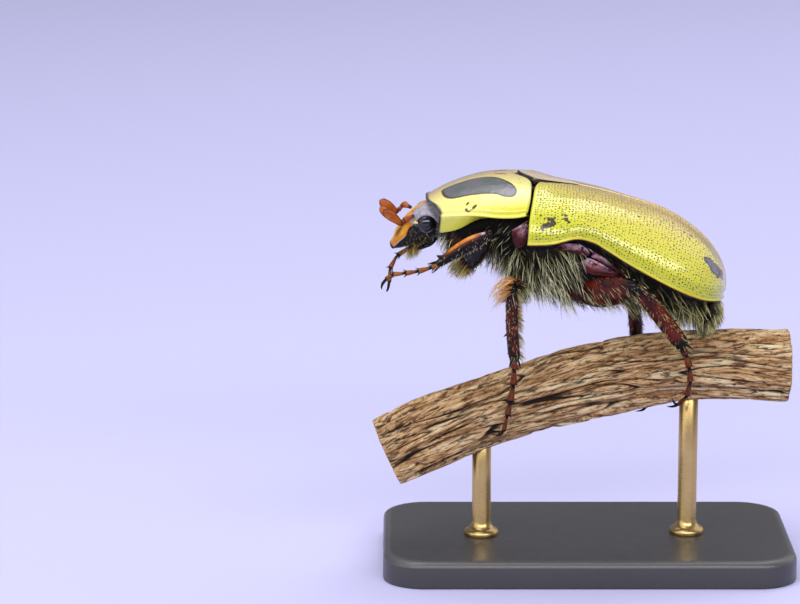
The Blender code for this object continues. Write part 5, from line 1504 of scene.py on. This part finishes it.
def build_perch(paint):
    line = smooth_path(PERCH_LINE, 64)
    heading = unit(np.gradient(line, axis=0))
    side = unit(np.array((0.0, 1.0, 0.0)) - heading * heading[:, 1:2])
    up = np.cross(side, heading)
    place = np.linspace(0, 15, len(line))[:, None]
    run = np.concatenate(((0,), np.cumsum(np.linalg.norm(np.diff(line, axis=0), axis=1))))[:, None]
    turn = (2 * np.pi * np.arange(PERCH_SIDES) / PERCH_SIDES)[None]
    radius = PERCH_RADIUS * (1 + 0.03 * np.sin(0.9 * place)) + 0 * turn
    for ridges, height in PERCH_RIDGES:
        radius = radius + height * np.sin(ridges * turn + 0.35 * place * (1 if ridges % 2 else -1) + ridges)
    crack, relief = bark_relief(run, turn)
    radius = radius + relief
    across = side[:, None] * (radius * np.cos(turn))[..., None]
    rings = line[:, None] + across + up[:, None] * (radius * np.sin(turn))[..., None]
    bark = dict(
        rings=rings, crack=crack, cut=0 * crack, ring=radius, grain_x=run + 0 * turn,
        grain_y=PERCH_RADIUS * np.abs(turn - np.pi) + 0.07 * run,
    )
    shares, dish = np.array(CUT_END).T[..., None]
    dish = dish + 0.06 * (1 - shares) * np.cos(3 * turn + 1)
    ends = []
    for end, outwards in ((0, -heading[0]), (-1, heading[-1])):
        face = line[end] + (rings[end] - line[end])[None] * shares[..., None] + dish[..., None] * outwards
        none = np.zeros(face.shape[:2])
        ring = radius[end] * shares
        ends.append(dict(rings=face, crack=none, cut=none + 1, ring=ring, grain_x=none, grain_y=none))
    parts = {key: np.concatenate((ends[0][key][::-1], bark[key], ends[1][key])) for key in bark}
    make_piece("perch_bark", loft(parts.pop("rings"), **parts), paint, ["perch"])


def build_base(paint):
    half = np.array(BASE_SIZE[:2]) / 2
    outline = []
    for corner in range(4):
        centre = (half - BASE_CORNER) * (1 if corner in (0, 3) else -1, 1 if corner in (0, 1) else -1)
        for turn in math.pi / 2 * (corner + np.arange(13) / 12):
            outline.append(centre + np.array((math.cos(turn), math.sin(turn))) * BASE_CORNER)
    outline = np.array(outline)
    bevel_z = BASE_SIZE[2] - BASE_BEVEL
    foot = [(0.12, 0.0, 0.0), (0.03, 0.04, 0.2), (0.0, 0.15, 0.0), (0.0, bevel_z, 0.2)]
    bevel = [
        (BASE_BEVEL * (1 - math.cos(t)), BASE_SIZE[2] - BASE_BEVEL * (1 - math.sin(t)), 1.0)
        for t in np.linspace(0.15, 1.57, 9)
    ]
    top = [(inset, BASE_SIZE[2], 0.0) for inset in (0.7, 1.2, 2.5, 4.5, 6.5)]
    insets, heights, edge = zip(*foot, *bevel, *top)
    rings = [
        np.column_stack((outline * (1 - inset / half), np.full(len(outline), z)))
        for inset, z in zip(insets, heights)
    ]
    make_piece("stand_base_plate", loft(rings, edge=edge), paint, ["stand_base"])


def build_rods(paint):
    """Two turned rods, each with a flared foot on the base and its top in the branch."""
    coarse = smooth_path(PERCH_LINE, 3)
    turn = 2 * np.pi * np.arange(48) / 48
    foot_z = BASE_SIZE[2]
    for k, x in enumerate(ROD_XS):
        at = coarse[np.argmin(np.abs(coarse[:, 0] - x))]
        top = at[2] - PERCH_RADIUS + ROD_SINK
        profile = [(radius, foot_z + rise) for radius, rise in ROD_FOOT]
        profile += [(ROD_RADIUS, 0.5 * (foot_z + top)), (ROD_RADIUS, top - 0.1), (0.6, top)]
        rings = [
            np.stack((at[0] + radius * np.cos(turn), at[1] + radius * np.sin(turn), np.full(48, z)), axis=1)
            for radius, z in profile
        ]
        around = np.broadcast_to(turn / (2 * np.pi), (len(rings), 48))
        shape = loft(rings, run=[z / 10 for _, z in profile], turn=around)
        make_piece(f"stand_rod_{k + 1}_brass", shape, paint, [f"stand_rod_{k + 1}"])


def build_stand(base_finish, rod_finish):
    build_base(base_finish)
    build_rods(rod_finish)


# Skin of the body under its hair


def remeshed(shape, voxel, smooth):
    """One closed skin round overlapping closed forms, as points and quads in millimetres."""
    mesh = bpy.data.meshes.new("skin_source")
    faces = [f for part in shape["faces"] for f in part.tolist()]
    mesh.from_pydata(shape["points"].tolist(), [], faces)
    source = linked("skin_source", mesh)
    remesh = source.modifiers.new("remesh", "REMESH")
    remesh.mode, remesh.voxel_size = "VOXEL", voxel
    even = source.modifiers.new("smooth", "SMOOTH")
    even.factor, even.iterations = 0.5, smooth
    made = source.evaluated_get(bpy.context.evaluated_depsgraph_get()).to_mesh()
    points = np.empty(len(made.vertices) * 3)
    made.vertices.foreach_get("co", points)
    quads = np.array([tuple(polygon.vertices) for polygon in made.polygons if len(polygon.vertices) == 4])
    bpy.data.objects.remove(source)
    bpy.data.meshes.remove(mesh)
    return form(points.reshape(-1, 3), [quads])


def skin_uv(points):
    """A wrap of the body round its length, from points in the body frame."""
    across = np.arctan2(points[:, 2] - SKIN_MIDDLE_Z, points[:, 1]) / (2 * np.pi) + 0.5
    return np.column_stack(((points[:, 0] - SKIN_MAP_REAR) / SKIN_MAP_LENGTH, across))


def coxa_balls():
    """The centre and radii of every hip, on both sides."""
    for centre, radii in COXAE.values():
        for sign in (1, -1):
            yield np.array(centre) * (1, sign, 1), np.array(radii)


def build_skin(paint):
    turn = (2 * np.pi * (np.arange(96) + 0.5) / 96)[None]
    front, rear = ABDOMEN_SPAN
    x = np.linspace(front + 0.3, rear, 170)[:, None]
    plate_run = np.clip((front - x) / (front - rear), 0, 1) * STERNITES % 1
    step = 0.05 + 0.2 * (1 - smoothstep(plate_run, 0.0, 0.85)) * smoothstep(plate_run, -0.01, 0.06)
    chest_x = np.linspace(PROSTERNUM_SPAN[0] + 0.3, PROSTERNUM_SPAN[1] - 0.4, 60)[:, None]
    thorax_x = np.linspace(THORAX_SPAN[0], THORAX_SPAN[1] - 0.4, 80)[:, None]
    forms = [
        loft(chest_section(chest_x, turn)), loft(thorax_section(thorax_x, turn)),
        loft(abdomen_section(x, turn, step)),
    ]
    forms += [ball(centre, radii * 0.98, 30, 40) for centre, radii in coxa_balls()]
    forms.append(ball(*NECK, 30, 40))
    body = remeshed(join(forms), SKIN_VOXEL, SKIN_SMOOTHING)
    points = body["points"]
    share = (front - points[:, 0]) / (front - rear) * STERNITES
    brown = np.where((share > 0) & (share < STERNITES), smoothstep(share % 1, 0.72, 0.95), 0)
    for centre, radii in coxa_balls():
        reach = np.linalg.norm((points - centre) / radii, axis=1)
        brown = np.maximum(brown, smoothstep(reach, 1.12, 0.98))
    outwards = unit(points - (0, 0, -4.0) - points * (1, 0, 0))
    body["points"] = points + 0.03 * wobble(points, 2.2, 6)[:, None] * outwards
    body["values"]["brown"] = brown
    nodes = ["thorax", "abdomen", "prosternum", *(f"coxa_{name}" for name in LEGS)]
    skin = placed(dict(body), in_stand)
    make_piece("body_skin", skin, paint, nodes, skin_uv(body["points"]))
    return body


# Hair


class Cut(NamedTuple):
    """How the hairs of a group of tufts are cut and bent."""

    length: float
    radius: float
    hairs: int
    lift: float
    curl: float = 0.0
    droop: float = 0.1
    pale: float = 1.0


def face_samples(shape, count, rng, keep):
    """Places spread evenly over a form, where keep(points, normals) is above a random draw.

    With them come their normals and the corners of the triangles that they lie on.
    """
    parts = shape["faces"]
    halves = [part[:, (0, 2, 3)] for part in parts if part.shape[1] == 4]
    faces = np.concatenate([part[:, :3] for part in parts] + halves)
    a, b, c = (shape["points"][faces[:, k]] for k in range(3))
    cross = np.cross(b - a, c - a)
    area = np.linalg.norm(cross, axis=1)
    picks = rng.choice(len(faces), count, p=area / area.sum())
    s, t = rng.random((2, count))
    flip = s + t > 1
    s, t = np.where(flip, 1 - s, s), np.where(flip, 1 - t, t)
    a, b, c = a[picks], b[picks], c[picks]
    points = a + (b - a) * s[:, None] + (c - a) * t[:, None]
    normals = unit(cross[picks])
    used = rng.random(count) < keep(points, normals)
    return points[used], normals[used], faces[picks[used]]


def hair_lines(rng, roots, normals, lies, lengths, own, cut, spread, curl):
    """The middle line of each hair, as a curve of four points, and a way across it.

    own is each hair's tuft. Hairs are gathered towards their tuft's tip, and droop bends them down.
    """
    count = len(own)
    normal = normals[own]
    tangent = unit(np.cross(normal, unit(rng.normal(size=(count, 3)))))
    root = roots[own] + tangent * (spread * np.sqrt(rng.random((count, 1)))) - normal * 0.05
    reach = (lengths[own] * rng.uniform(0.72, 1.12, count))[:, None]
    side = unit(np.cross(normals, lies) + 1e-6)[own]
    bend = side * curl[own][:, None] * reach
    stray = 0.16 * rng.normal(size=(count, 3))
    way = unit(lies[own] + stray)
    rise = (cut.lift * rng.uniform(0.7, 1.3, count))[:, None]
    near_root = root + (normal * rise + way * 0.25) * reach * 0.42
    near_tip = root + way * reach * 0.72 + normal * rise * reach * 0.3 + bend * 0.12
    tip = root + way * reach + bend * 0.3
    gather = roots[own] + (lies * lengths[:, None])[own]
    tip = tip + (gather - tip) * rng.uniform(0.15, 0.55, count)[:, None]
    down = cut.droop * reach * rng.uniform(0.6, 1.3, (count, 1)) * np.array((0.0, 0.0, -1.0))
    near_tip, tip = near_tip + 0.35 * down, tip + down
    t = np.linspace(0, 1, len(HAIR_PROFILE))[None, :, None]
    shares = ((1 - t) ** 3, 3 * (1 - t) ** 2 * t, 3 * (1 - t) * t**2, t**3)
    line = sum(share * point[:, None] for share, point in zip(shares, (root, near_root, near_tip, tip)))
    return line, side + 0.3 * stray


def strands(rng, roots, normals, lies, lengths, cut, spread, curl, uv):
    """Tufts of thin tapered hairs in the stand frame, as a form and its places on the map.

    Each array gives one value for each tuft. A cut's pale below 1 keeps the tips as dark as the roots.
    """
    tufts, rows = len(roots), len(HAIR_PROFILE)
    own = np.repeat(np.arange(tufts), cut.hairs)
    count = len(own)
    line, across = hair_lines(rng, roots, normals, lies, lengths, own, cut, spread, curl)
    heading = unit(np.gradient(line, axis=1))
    wide = unit(np.cross(heading, across[:, None]))
    thin = np.cross(heading, wide)
    size = (cut.radius * rng.uniform(0.7, 1.25, count))[:, None] * np.array((HAIR_PROFILE,))
    turn = (2 * np.pi * np.arange(HAIR_SIDES) / HAIR_SIDES)[:, None]
    ring = wide[:, :, None] * np.cos(turn) + thin[:, :, None] * np.sin(turn)
    rings = line[:, :, None] + size[..., None, None] * ring

    each = rows * HAIR_SIDES
    first = np.arange(count)[:, None] * each
    quads = (first[:, :, None] + grid_faces(rows, HAIR_SIDES, True)[None]).reshape(-1, 4)
    corners = np.arange(HAIR_SIDES)[None]
    caps = np.concatenate((first + corners[:, ::-1], first + each - HAIR_SIDES + corners))
    run, around = np.meshgrid(np.arange(rows) / (rows - 1), np.arange(HAIR_SIDES) / HAIR_SIDES, indexing="ij")
    tone = 0.7 * rng.random(tufts)[own] + 0.3 * rng.random(count)
    patch = uv[own] + rng.uniform(-MAP_SPREAD, MAP_SPREAD, (count, 2))
    on_hair = np.tile(np.column_stack((run.ravel(), around.ravel())), (count, 1))
    patch = np.repeat(patch, each, axis=0) + MAP_SPREAD / 2 * on_hair
    run = np.tile(cut.pale * run.ravel(), count)
    return form(rings.reshape(-1, 3), [quads, caps], run=run, tone=np.repeat(tone, each)), patch


def grow(name, groups, paint):
    """One coat piece from several groups of tufts made by strands."""
    shapes, patches = zip(*groups)
    make_piece(name, join(shapes), paint, uv=np.concatenate(patches))


def laid(rng, lie, scatter, normals, least):
    """Lies of tufts over a surface: the given way, scattered, and lifted where it points into the surface."""
    lie = unit(lie + scatter * rng.normal(size=normals.shape))
    into = np.minimum((lie * normals).sum(1) - least, 0)
    return unit(lie - normals * into[:, None])


def below_margin(depth):
    """A height that follows the lower margin of the wing cases, a depth below it."""
    return lambda x: along(MARGIN_Z, np.minimum(x, -1.4)) - depth


def build_body_coat(body, pygidium, thin_hair, tail_hair, rng):
    def zone(span, top, count, lie, cut, low=None):
        """Tufts over the part of the skin in a span of x and below a height, on both sides."""
        def keep(points, normals):
            x, z = points[:, 0], points[:, 2]
            share = smoothstep(x, span[0] - ZONE_EDGE, span[0] + ZONE_EDGE)
            share = share * smoothstep(x, span[1] + ZONE_EDGE, span[1] - ZONE_EDGE)
            if low is not None:
                share = share * smoothstep(z, low - 0.3, low + 0.3)
            height = top(x) if callable(top) else top
            return share * smoothstep(z, height + ZONE_EDGE, height - ZONE_EDGE)

        points, normals = face_samples(body, count, rng, keep)[:2]
        outwards = np.sign(points[:, 1:2]) * (0, 1, 0) + (1, 0, 1)
        ways = laid(rng, np.array(lie) * outwards + 0.03 * normals, 0.13, normals, 0.12)
        sizes = cut.length * rng.uniform(0.7, 1.15, len(points))
        bend = cut.curl * rng.normal(size=len(points))
        turned = (normals @ BODY_TURN, ways @ BODY_TURN)
        return strands(rng, in_stand(points), *turned, sizes, cut, 0.1, bend, skin_uv(points))

    side = below_margin(0.3)
    grow("coat_thorax", [
        zone((-6.9, -0.9), side, 2600, (-0.75, 0.1, -0.4), Cut(0.6, 0.02, 2, 0.25, 0.15, 0.15, 0.2)),
        zone((-3.6, -0.9), side, 6000, (-0.25, 0.12, -0.95), Cut(1.5, 0.029, 1, 0.4, 0.25, 0.15)),
        zone((-5.3, -2.6), side, 7000, (-0.7, 0.12, -0.65), Cut(1.55, 0.029, 1, 0.45, 0.3, 0.3)),
        zone((-7.0, -4.4), below_margin(1.2), 2600, (-0.8, 0.1, -0.5), Cut(1.0, 0.026, 1, 0.3, 0.25, 0.15)),
        zone((-4.6, -0.9), -6.5, 2400, (-0.6, 0.05, -0.7), Cut(1.0, 0.024, 2, 0.3, 0.25, 0.15, 0.75)),
        zone((-7.1, -4.0), -6.8, 700, (-0.75, 0.05, -0.5), Cut(0.8, 0.024, 2, 0.25, 0.25, 0.15, 0.75)),
    ], thin_hair)
    tail = (-15.9, -7.2)
    grow("coat_abdomen", [
        zone(tail, below_margin(0.0), 3000, (-0.7, 0.15, -0.4), Cut(0.6, 0.02, 2, 0.3, 0.15, 0.15, 0.2)),
        zone(tail, below_margin(0.4), 3400, (-0.6, 0.2, -0.6), Cut(1.1, 0.026, 1, 0.4, 0.5, 0.15)),
        zone((-15.9, -12.4), below_margin(0.5), 3600, (-0.25, 0.2, -0.9), Cut(1.3, 0.024, 2, 0.5, 0.8, 0.35)),
        zone((-15.9, -14.4), -4.6, 1500, (-0.6, 0.1, -0.8), Cut(1.2, 0.025, 2, 0.5, 0.8, 0.3)),
        form_coat(
            pygidium, 2600, rng, facing((-1, 0, -0.1), 0.4, 0.1), (-0.35, 0, -0.9),
            Cut(0.8, 0.022, 2, 0.3, 0.5, 0.3), (0.6, 0.1, 0.3, 0.6),
        ),
    ], tail_hair)
    grow("coat_chest", [
        zone((-0.9, 4.9), -4.5, 1300, (-0.5, 0.1, -0.7), Cut(0.5, 0.018, 2, 0.3, 0.15, 0.15, 0.15)),
        zone((3.4, 4.9), -4.6, 2200, (0.35, 0.1, -0.9), Cut(1.0, 0.022, 2, 0.5, 0.6, 0.25)),
        zone((-0.6, 1.4), -3.3, 5000, (0.8, 0.6, -0.35), Cut(0.95, 0.028, 1, 0.8, 0.4, 0.4), -5.2),
        zone((-1.2, 0.8), -4.6, 4600, (0.15, 0.5, -0.9), Cut(1.15, 0.028, 1, 0.6, 0.4, 0.3), -7.0),
        zone((-0.9, 3.3), -5.9, 900, (-0.35, 0.1, -0.9), Cut(0.9, 0.024, 2, 0.4, 0.25, 0.15, 0.7)),
    ], thin_hair)


def form_coat(shape, count, rng, keep, lie, cut, uv_box):
    """Tufts over a form in the stand frame; uv_box is the corner and size of its place on the map."""
    points, normals, corners = face_samples(shape, count, rng, keep)
    ways = laid(rng, np.asarray(lie) + 0.2 * normals, 0.15, normals, 0.15)
    sizes = cut.length * rng.uniform(0.7, 1.15, len(points))
    at = np.column_stack([shape["values"][key][corners[:, 0]] for key in ("run", "turn")])
    uv = np.array(uv_box[:2]) + at * np.array(uv_box[2:])
    bend = cut.curl * rng.normal(size=len(points))
    return strands(rng, points, normals, ways, sizes, cut, 0.06, bend, uv)


def facing(way, sharp=0.3, low=0.1):
    """Keeps places on a form whose surface faces a way."""
    way = unit(way)
    return lambda points, normals: smoothstep((normals * way).sum(1), low, low + sharp)


def near(place, reach, then):
    """Keeps what then keeps, within a reach of a place."""
    def keep(points, normals):
        distance = np.linalg.norm(points - place, axis=1)
        return then(points, normals) * smoothstep(distance, reach, 0.6 * reach)

    return keep


class Patch(NamedTuple):
    """Hair on one side of a limb: in its ways, y is outwards from the beetle's middle."""

    coat: str
    limb: str
    count: int
    facing: tuple
    lie: tuple
    cut: Cut
    near: tuple = ()


LEG_PATCHES = {
    "front": (
        Patch(
            LONG, "femur", 700, ((-0.1, 0, -1), 0.2, 0.6), (0.2, 0.1, -1), Cut(0.5, 0.018, 1, 0.3, 0.3, 0.2),
        ),
        Patch(
            SHINS, "femur", 1300, ((0.3, 0, -1), 0.3, 0.1), (0.75, 0.2, -0.6),
            Cut(0.75, 0.018, 2, 0.4, 0.3, 0.3), ("hip", 2.2),
        ),
        Patch(SHORT, "tibia", 260, ((-0.2, 0, -1),), (0.6, 0, -0.9), Cut(0.35, 0.014, 1, 0.3)),
    ),
    "middle": (
        Patch(
            LONG, "femur", 600, ((-0.4, 0, -1), 0.3, 0.3), (-0.4, 0.1, -0.9),
            Cut(0.9, 0.02, 2, 0.35, 0.25, 0.2),
        ),
        Patch(
            KNEES, "femur", 900, ((1, 0, 0.1), 0.3, -0.1), (0.85, 0.3, 0.1),
            Cut(1.2, 0.022, 1, 0.7, 0.9, 0.8), ("knee", 2.3),
        ),
        Patch(SHINS, "tibia", 700, ((-1, 0, 0), 0.3, 0.6), (-0.7, 0, -0.7), Cut(0.6, 0.018, 2, 0.35, 0.2)),
        Patch(SHINS, "tibia", 160, ((0.3, 1, 0), 0.3, 0.3), (0, 0.1, -1), Cut(0.28, 0.02, 1, 0.3)),
    ),
    "hind": (
        Patch(
            LONG, "femur", 360, ((0.3, 0.3, -1), 0.4, 0.1), (-0.7, 0.15, -0.6), Cut(0.8, 0.018, 1, 0.35, 0.2),
        ),
        Patch(SHINS, "tibia", 420, ((0.5, 0, -0.6), 0.3, 0.4), (-0.1, 0, -1), Cut(0.45, 0.018, 1, 0.3)),
        Patch(SHINS, "tibia", 420, ((-0.4, 0.3, 0.6), 0.4, 0.3), (-0.6, 0.1, -0.5), Cut(0.32, 0.022, 1, 0.4)),
    ),
    "every": (
        Patch(SHORT, "femur", 200, ((0, 0.6, 0.8), 0.8, -0.3), (-0.5, 0.1, -0.5), Cut(0.24, 0.013, 1, 0.5)),
        Patch(SHORT, "tibia", 200, ((0, 0, 1), 0.1, -3), (-0.1, 0, -0.8), Cut(0.24, 0.013, 1, 0.45)),
    ),
}


def build_leg_coats(legs, paints, rng):
    groups = {coat: [] for coat in paints}
    for k, (name, limbs) in enumerate(legs.items()):
        place, side = name.split("_")
        outwards = (1, 1 if side == "left" else -1, 1)
        corner = (0.02 + k % 2 * 0.5, 0.02 + k // 2 * 0.32)
        for patch in (*LEG_PATCHES[place], *LEG_PATCHES["every"]):
            way, *limits = patch.facing
            keep = facing(np.array(way) * outwards, *limits)
            if patch.near:
                joint, reach = patch.near
                keep = near(from_body(LEGS[name][joint]), reach, keep)
            box = (corner[0], corner[1] + (0.15 if patch.limb == "tibia" else 0), 0.42, 0.13)
            lie = np.array(patch.lie) * outwards
            coat = form_coat(limbs[patch.limb], patch.count, rng, keep, lie, patch.cut, box)
            groups[patch.coat].append(coat)
    for coat, paint in paints.items():
        grow(coat, groups[coat], paint)


def map_over(shape, run_axis, turn_axis):
    """Gives a form the values "run" and "turn" from its reach along two axes."""
    for key, axis in (("run", run_axis), ("turn", turn_axis)):
        place = shape["points"][:, axis]
        shape["values"][key] = (place - place.min()) / np.ptp(place)


def shield_fringe(rng):
    """A row of fine hairs from under the front edge of the pronotum."""
    v = np.concatenate((np.linspace(-1.8, -0.7, 90), np.linspace(0.7, 1.8, 90)))
    edge = pronotum_surface(np.zeros(len(v)), v)
    ahead = unit(edge - pronotum_surface(np.full(len(v), 0.02), v))
    out = unit(edge - np.array((3.0, 0, -4.0)))
    roots = edge - out * 0.28 + ahead * (-0.05)
    ways = unit(ahead + 0.12 * rng.normal(size=edge.shape) - 0.35 * out)
    uv = np.column_stack((np.full(len(v), 0.7), 0.05 + 0.9 * (v + 1.7) / 3.4))
    lengths = 0.42 * rng.uniform(0.7, 1.1, len(v))
    turned = (in_stand(roots), out @ BODY_TURN, ways @ BODY_TURN)
    return strands(rng, *turned, lengths, Cut(0.42, 0.018, 1, 0.1, droop=0.0), 0.03, np.zeros(len(v)), uv)


def build_head_coats(capsule, paint, rng):
    """The brush below the mouth, short hair on the cheeks, and the fringe along the front of the pronotum."""
    brush = placed(ball((3.2, 0, -1.2), (0.75, 0.8, 0.4), 24, 36), head_to_stand)
    map_over(brush, 0, 1)
    map_over(capsule, 0, 2)
    below = facing((-0.2, 0, -1.0), 0.4, 0.3)
    cut = Cut(0.85, 0.016, 2, 0.5, 0.5, 0.1)
    groups = [form_coat(brush, 620, rng, below, (0.1, 0, -1.0), cut, (0.02, 0.02, 0.4, 0.4))]
    for sign in (1, -1):
        cheek = head_to_stand(np.array(((2.3, 1.2 * sign, -1.0),)))[0]
        keep = near(cheek, 1.7, facing((0.1, sign, -0.6), 0.2, 0.45))
        box = (0.02, 0.5 + 0.2 * (sign < 0), 0.4, 0.18)
        cut = Cut(0.3, 0.011, 1, 0.35, 0.2)
        groups.append(form_coat(capsule, 700, rng, keep, (-0.3, 0.15 * sign, -0.8), cut, box))
    groups.append(shield_fringe(rng))
    grow("coat_head", groups, paint)


# Room, light and camera


def build_room():
    corners = [(x * FLOOR_HALF, y * FLOOR_HALF, 0) for x, y in ((-1, -1), (1, -1), (1, 1), (-1, 1))]
    mesh = bpy.data.meshes.new("floor")
    mesh.from_pydata(corners, [], [(0, 1, 2, 3)])
    mesh.materials.append(floor_paint())
    floor = linked("floor", mesh)
    world = bpy.data.worlds.new("studio")
    world.use_nodes = True
    back = world.node_tree.nodes["Background"]
    back.inputs["Color"].default_value = WORLD_COLOUR
    back.inputs["Strength"].default_value = WORLD_STRENGTH
    bpy.context.scene.world = world
    target = Vector(LIGHT_TARGET) * MM
    for name, place, size, energy, colour in LIGHTS:
        data = bpy.data.lights.new(name, "AREA")
        data.shape, data.size, data.size_y = "RECTANGLE", *size
        data.energy, data.color = energy, colour
        light = linked(name, data)
        light.location = target + Vector(place) * MM
        light.rotation_euler = (target - light.location).to_track_quat("-Z", "Y").to_euler()
    data = bpy.data.lights.new("sky", "SUN")
    data.energy, data.angle, data.color = SUN_STRENGTH, SUN_BREADTH, SUN_COLOUR
    linked("sky", data).rotation_euler = SUN_TURN


def build_camera():
    data = bpy.data.cameras.new("camera")
    data.sensor_width, data.angle = 36.0, 2 * math.atan(FRAME_HALF_WIDTH / CAMERA_DISTANCE)
    data.clip_start, data.clip_end = 0.001, 50.0
    camera = linked("camera", data)
    behind = Vector((0, math.cos(CAMERA_TILT), math.sin(CAMERA_TILT))) * CAMERA_DISTANCE
    camera.location = (Vector(CAMERA_AIM) + behind) * MM
    camera.rotation_euler = (math.pi / 2 - CAMERA_TILT, 0, math.pi)
    bpy.context.scene.camera = camera
    bpy.context.scene.view_settings.view_transform = "Standard"


def main():
    rng = np.random.default_rng(SEED)
    build_elytra(yellow_paint("elytron_chitin", ELYTRON_STOPS, ELYTRON_MARK_AND_SHEEN, ELYTRON_PITS, 0.5))
    build_pronotum(yellow_paint("pronotum_chitin", PRONOTUM_STOPS, DARK_MARK_AND_SHEEN, FAINT_PITS))
    build_scutellum(yellow_paint("scutellum_chitin", SCUTELLUM_STOPS, DARK_MARK_AND_SHEEN, FAINT_PITS))
    plate_finish = chitin_paint("plate_chitin", *PLATE_COLOURS, 6.5, tint=(0.95, 0.8, 1.0), rough=0.2)
    build_side_plates(plate_finish)
    pygidium = build_pygidium(plate_finish)
    capsule = build_head(head_paint(), eye_paint(), chitin_paint("mouth_chitin", *MOUTH_COLOURS, 7.0, 0.02))
    build_antennae(antenna_paint())
    leg_finish = chitin_paint("leg_chitin", *LEG_COLOURS, 4.2, tint=(1.0, 0.88, 0.95), rough=0.16)
    legs = {name: build_leg(name, leg_finish) for name in LEGS}
    body = build_skin(skin_paint())
    pale, tail, gold, brush = (hair_paint(f"{name}_hair", *tones) for name, tones in HAIR_COLOURS.items())
    build_body_coat(body, pygidium, pale, tail, rng)
    build_leg_coats(legs, {LONG: pale, SHORT: pale, KNEES: gold, SHINS: brush}, rng)
    build_head_coats(capsule, brush, rng)
    build_perch(bark_paint())
    build_stand(base_paint(), rod_paint())
    build_room()
    build_camera()
    bpy.context.view_layer.update()


main()
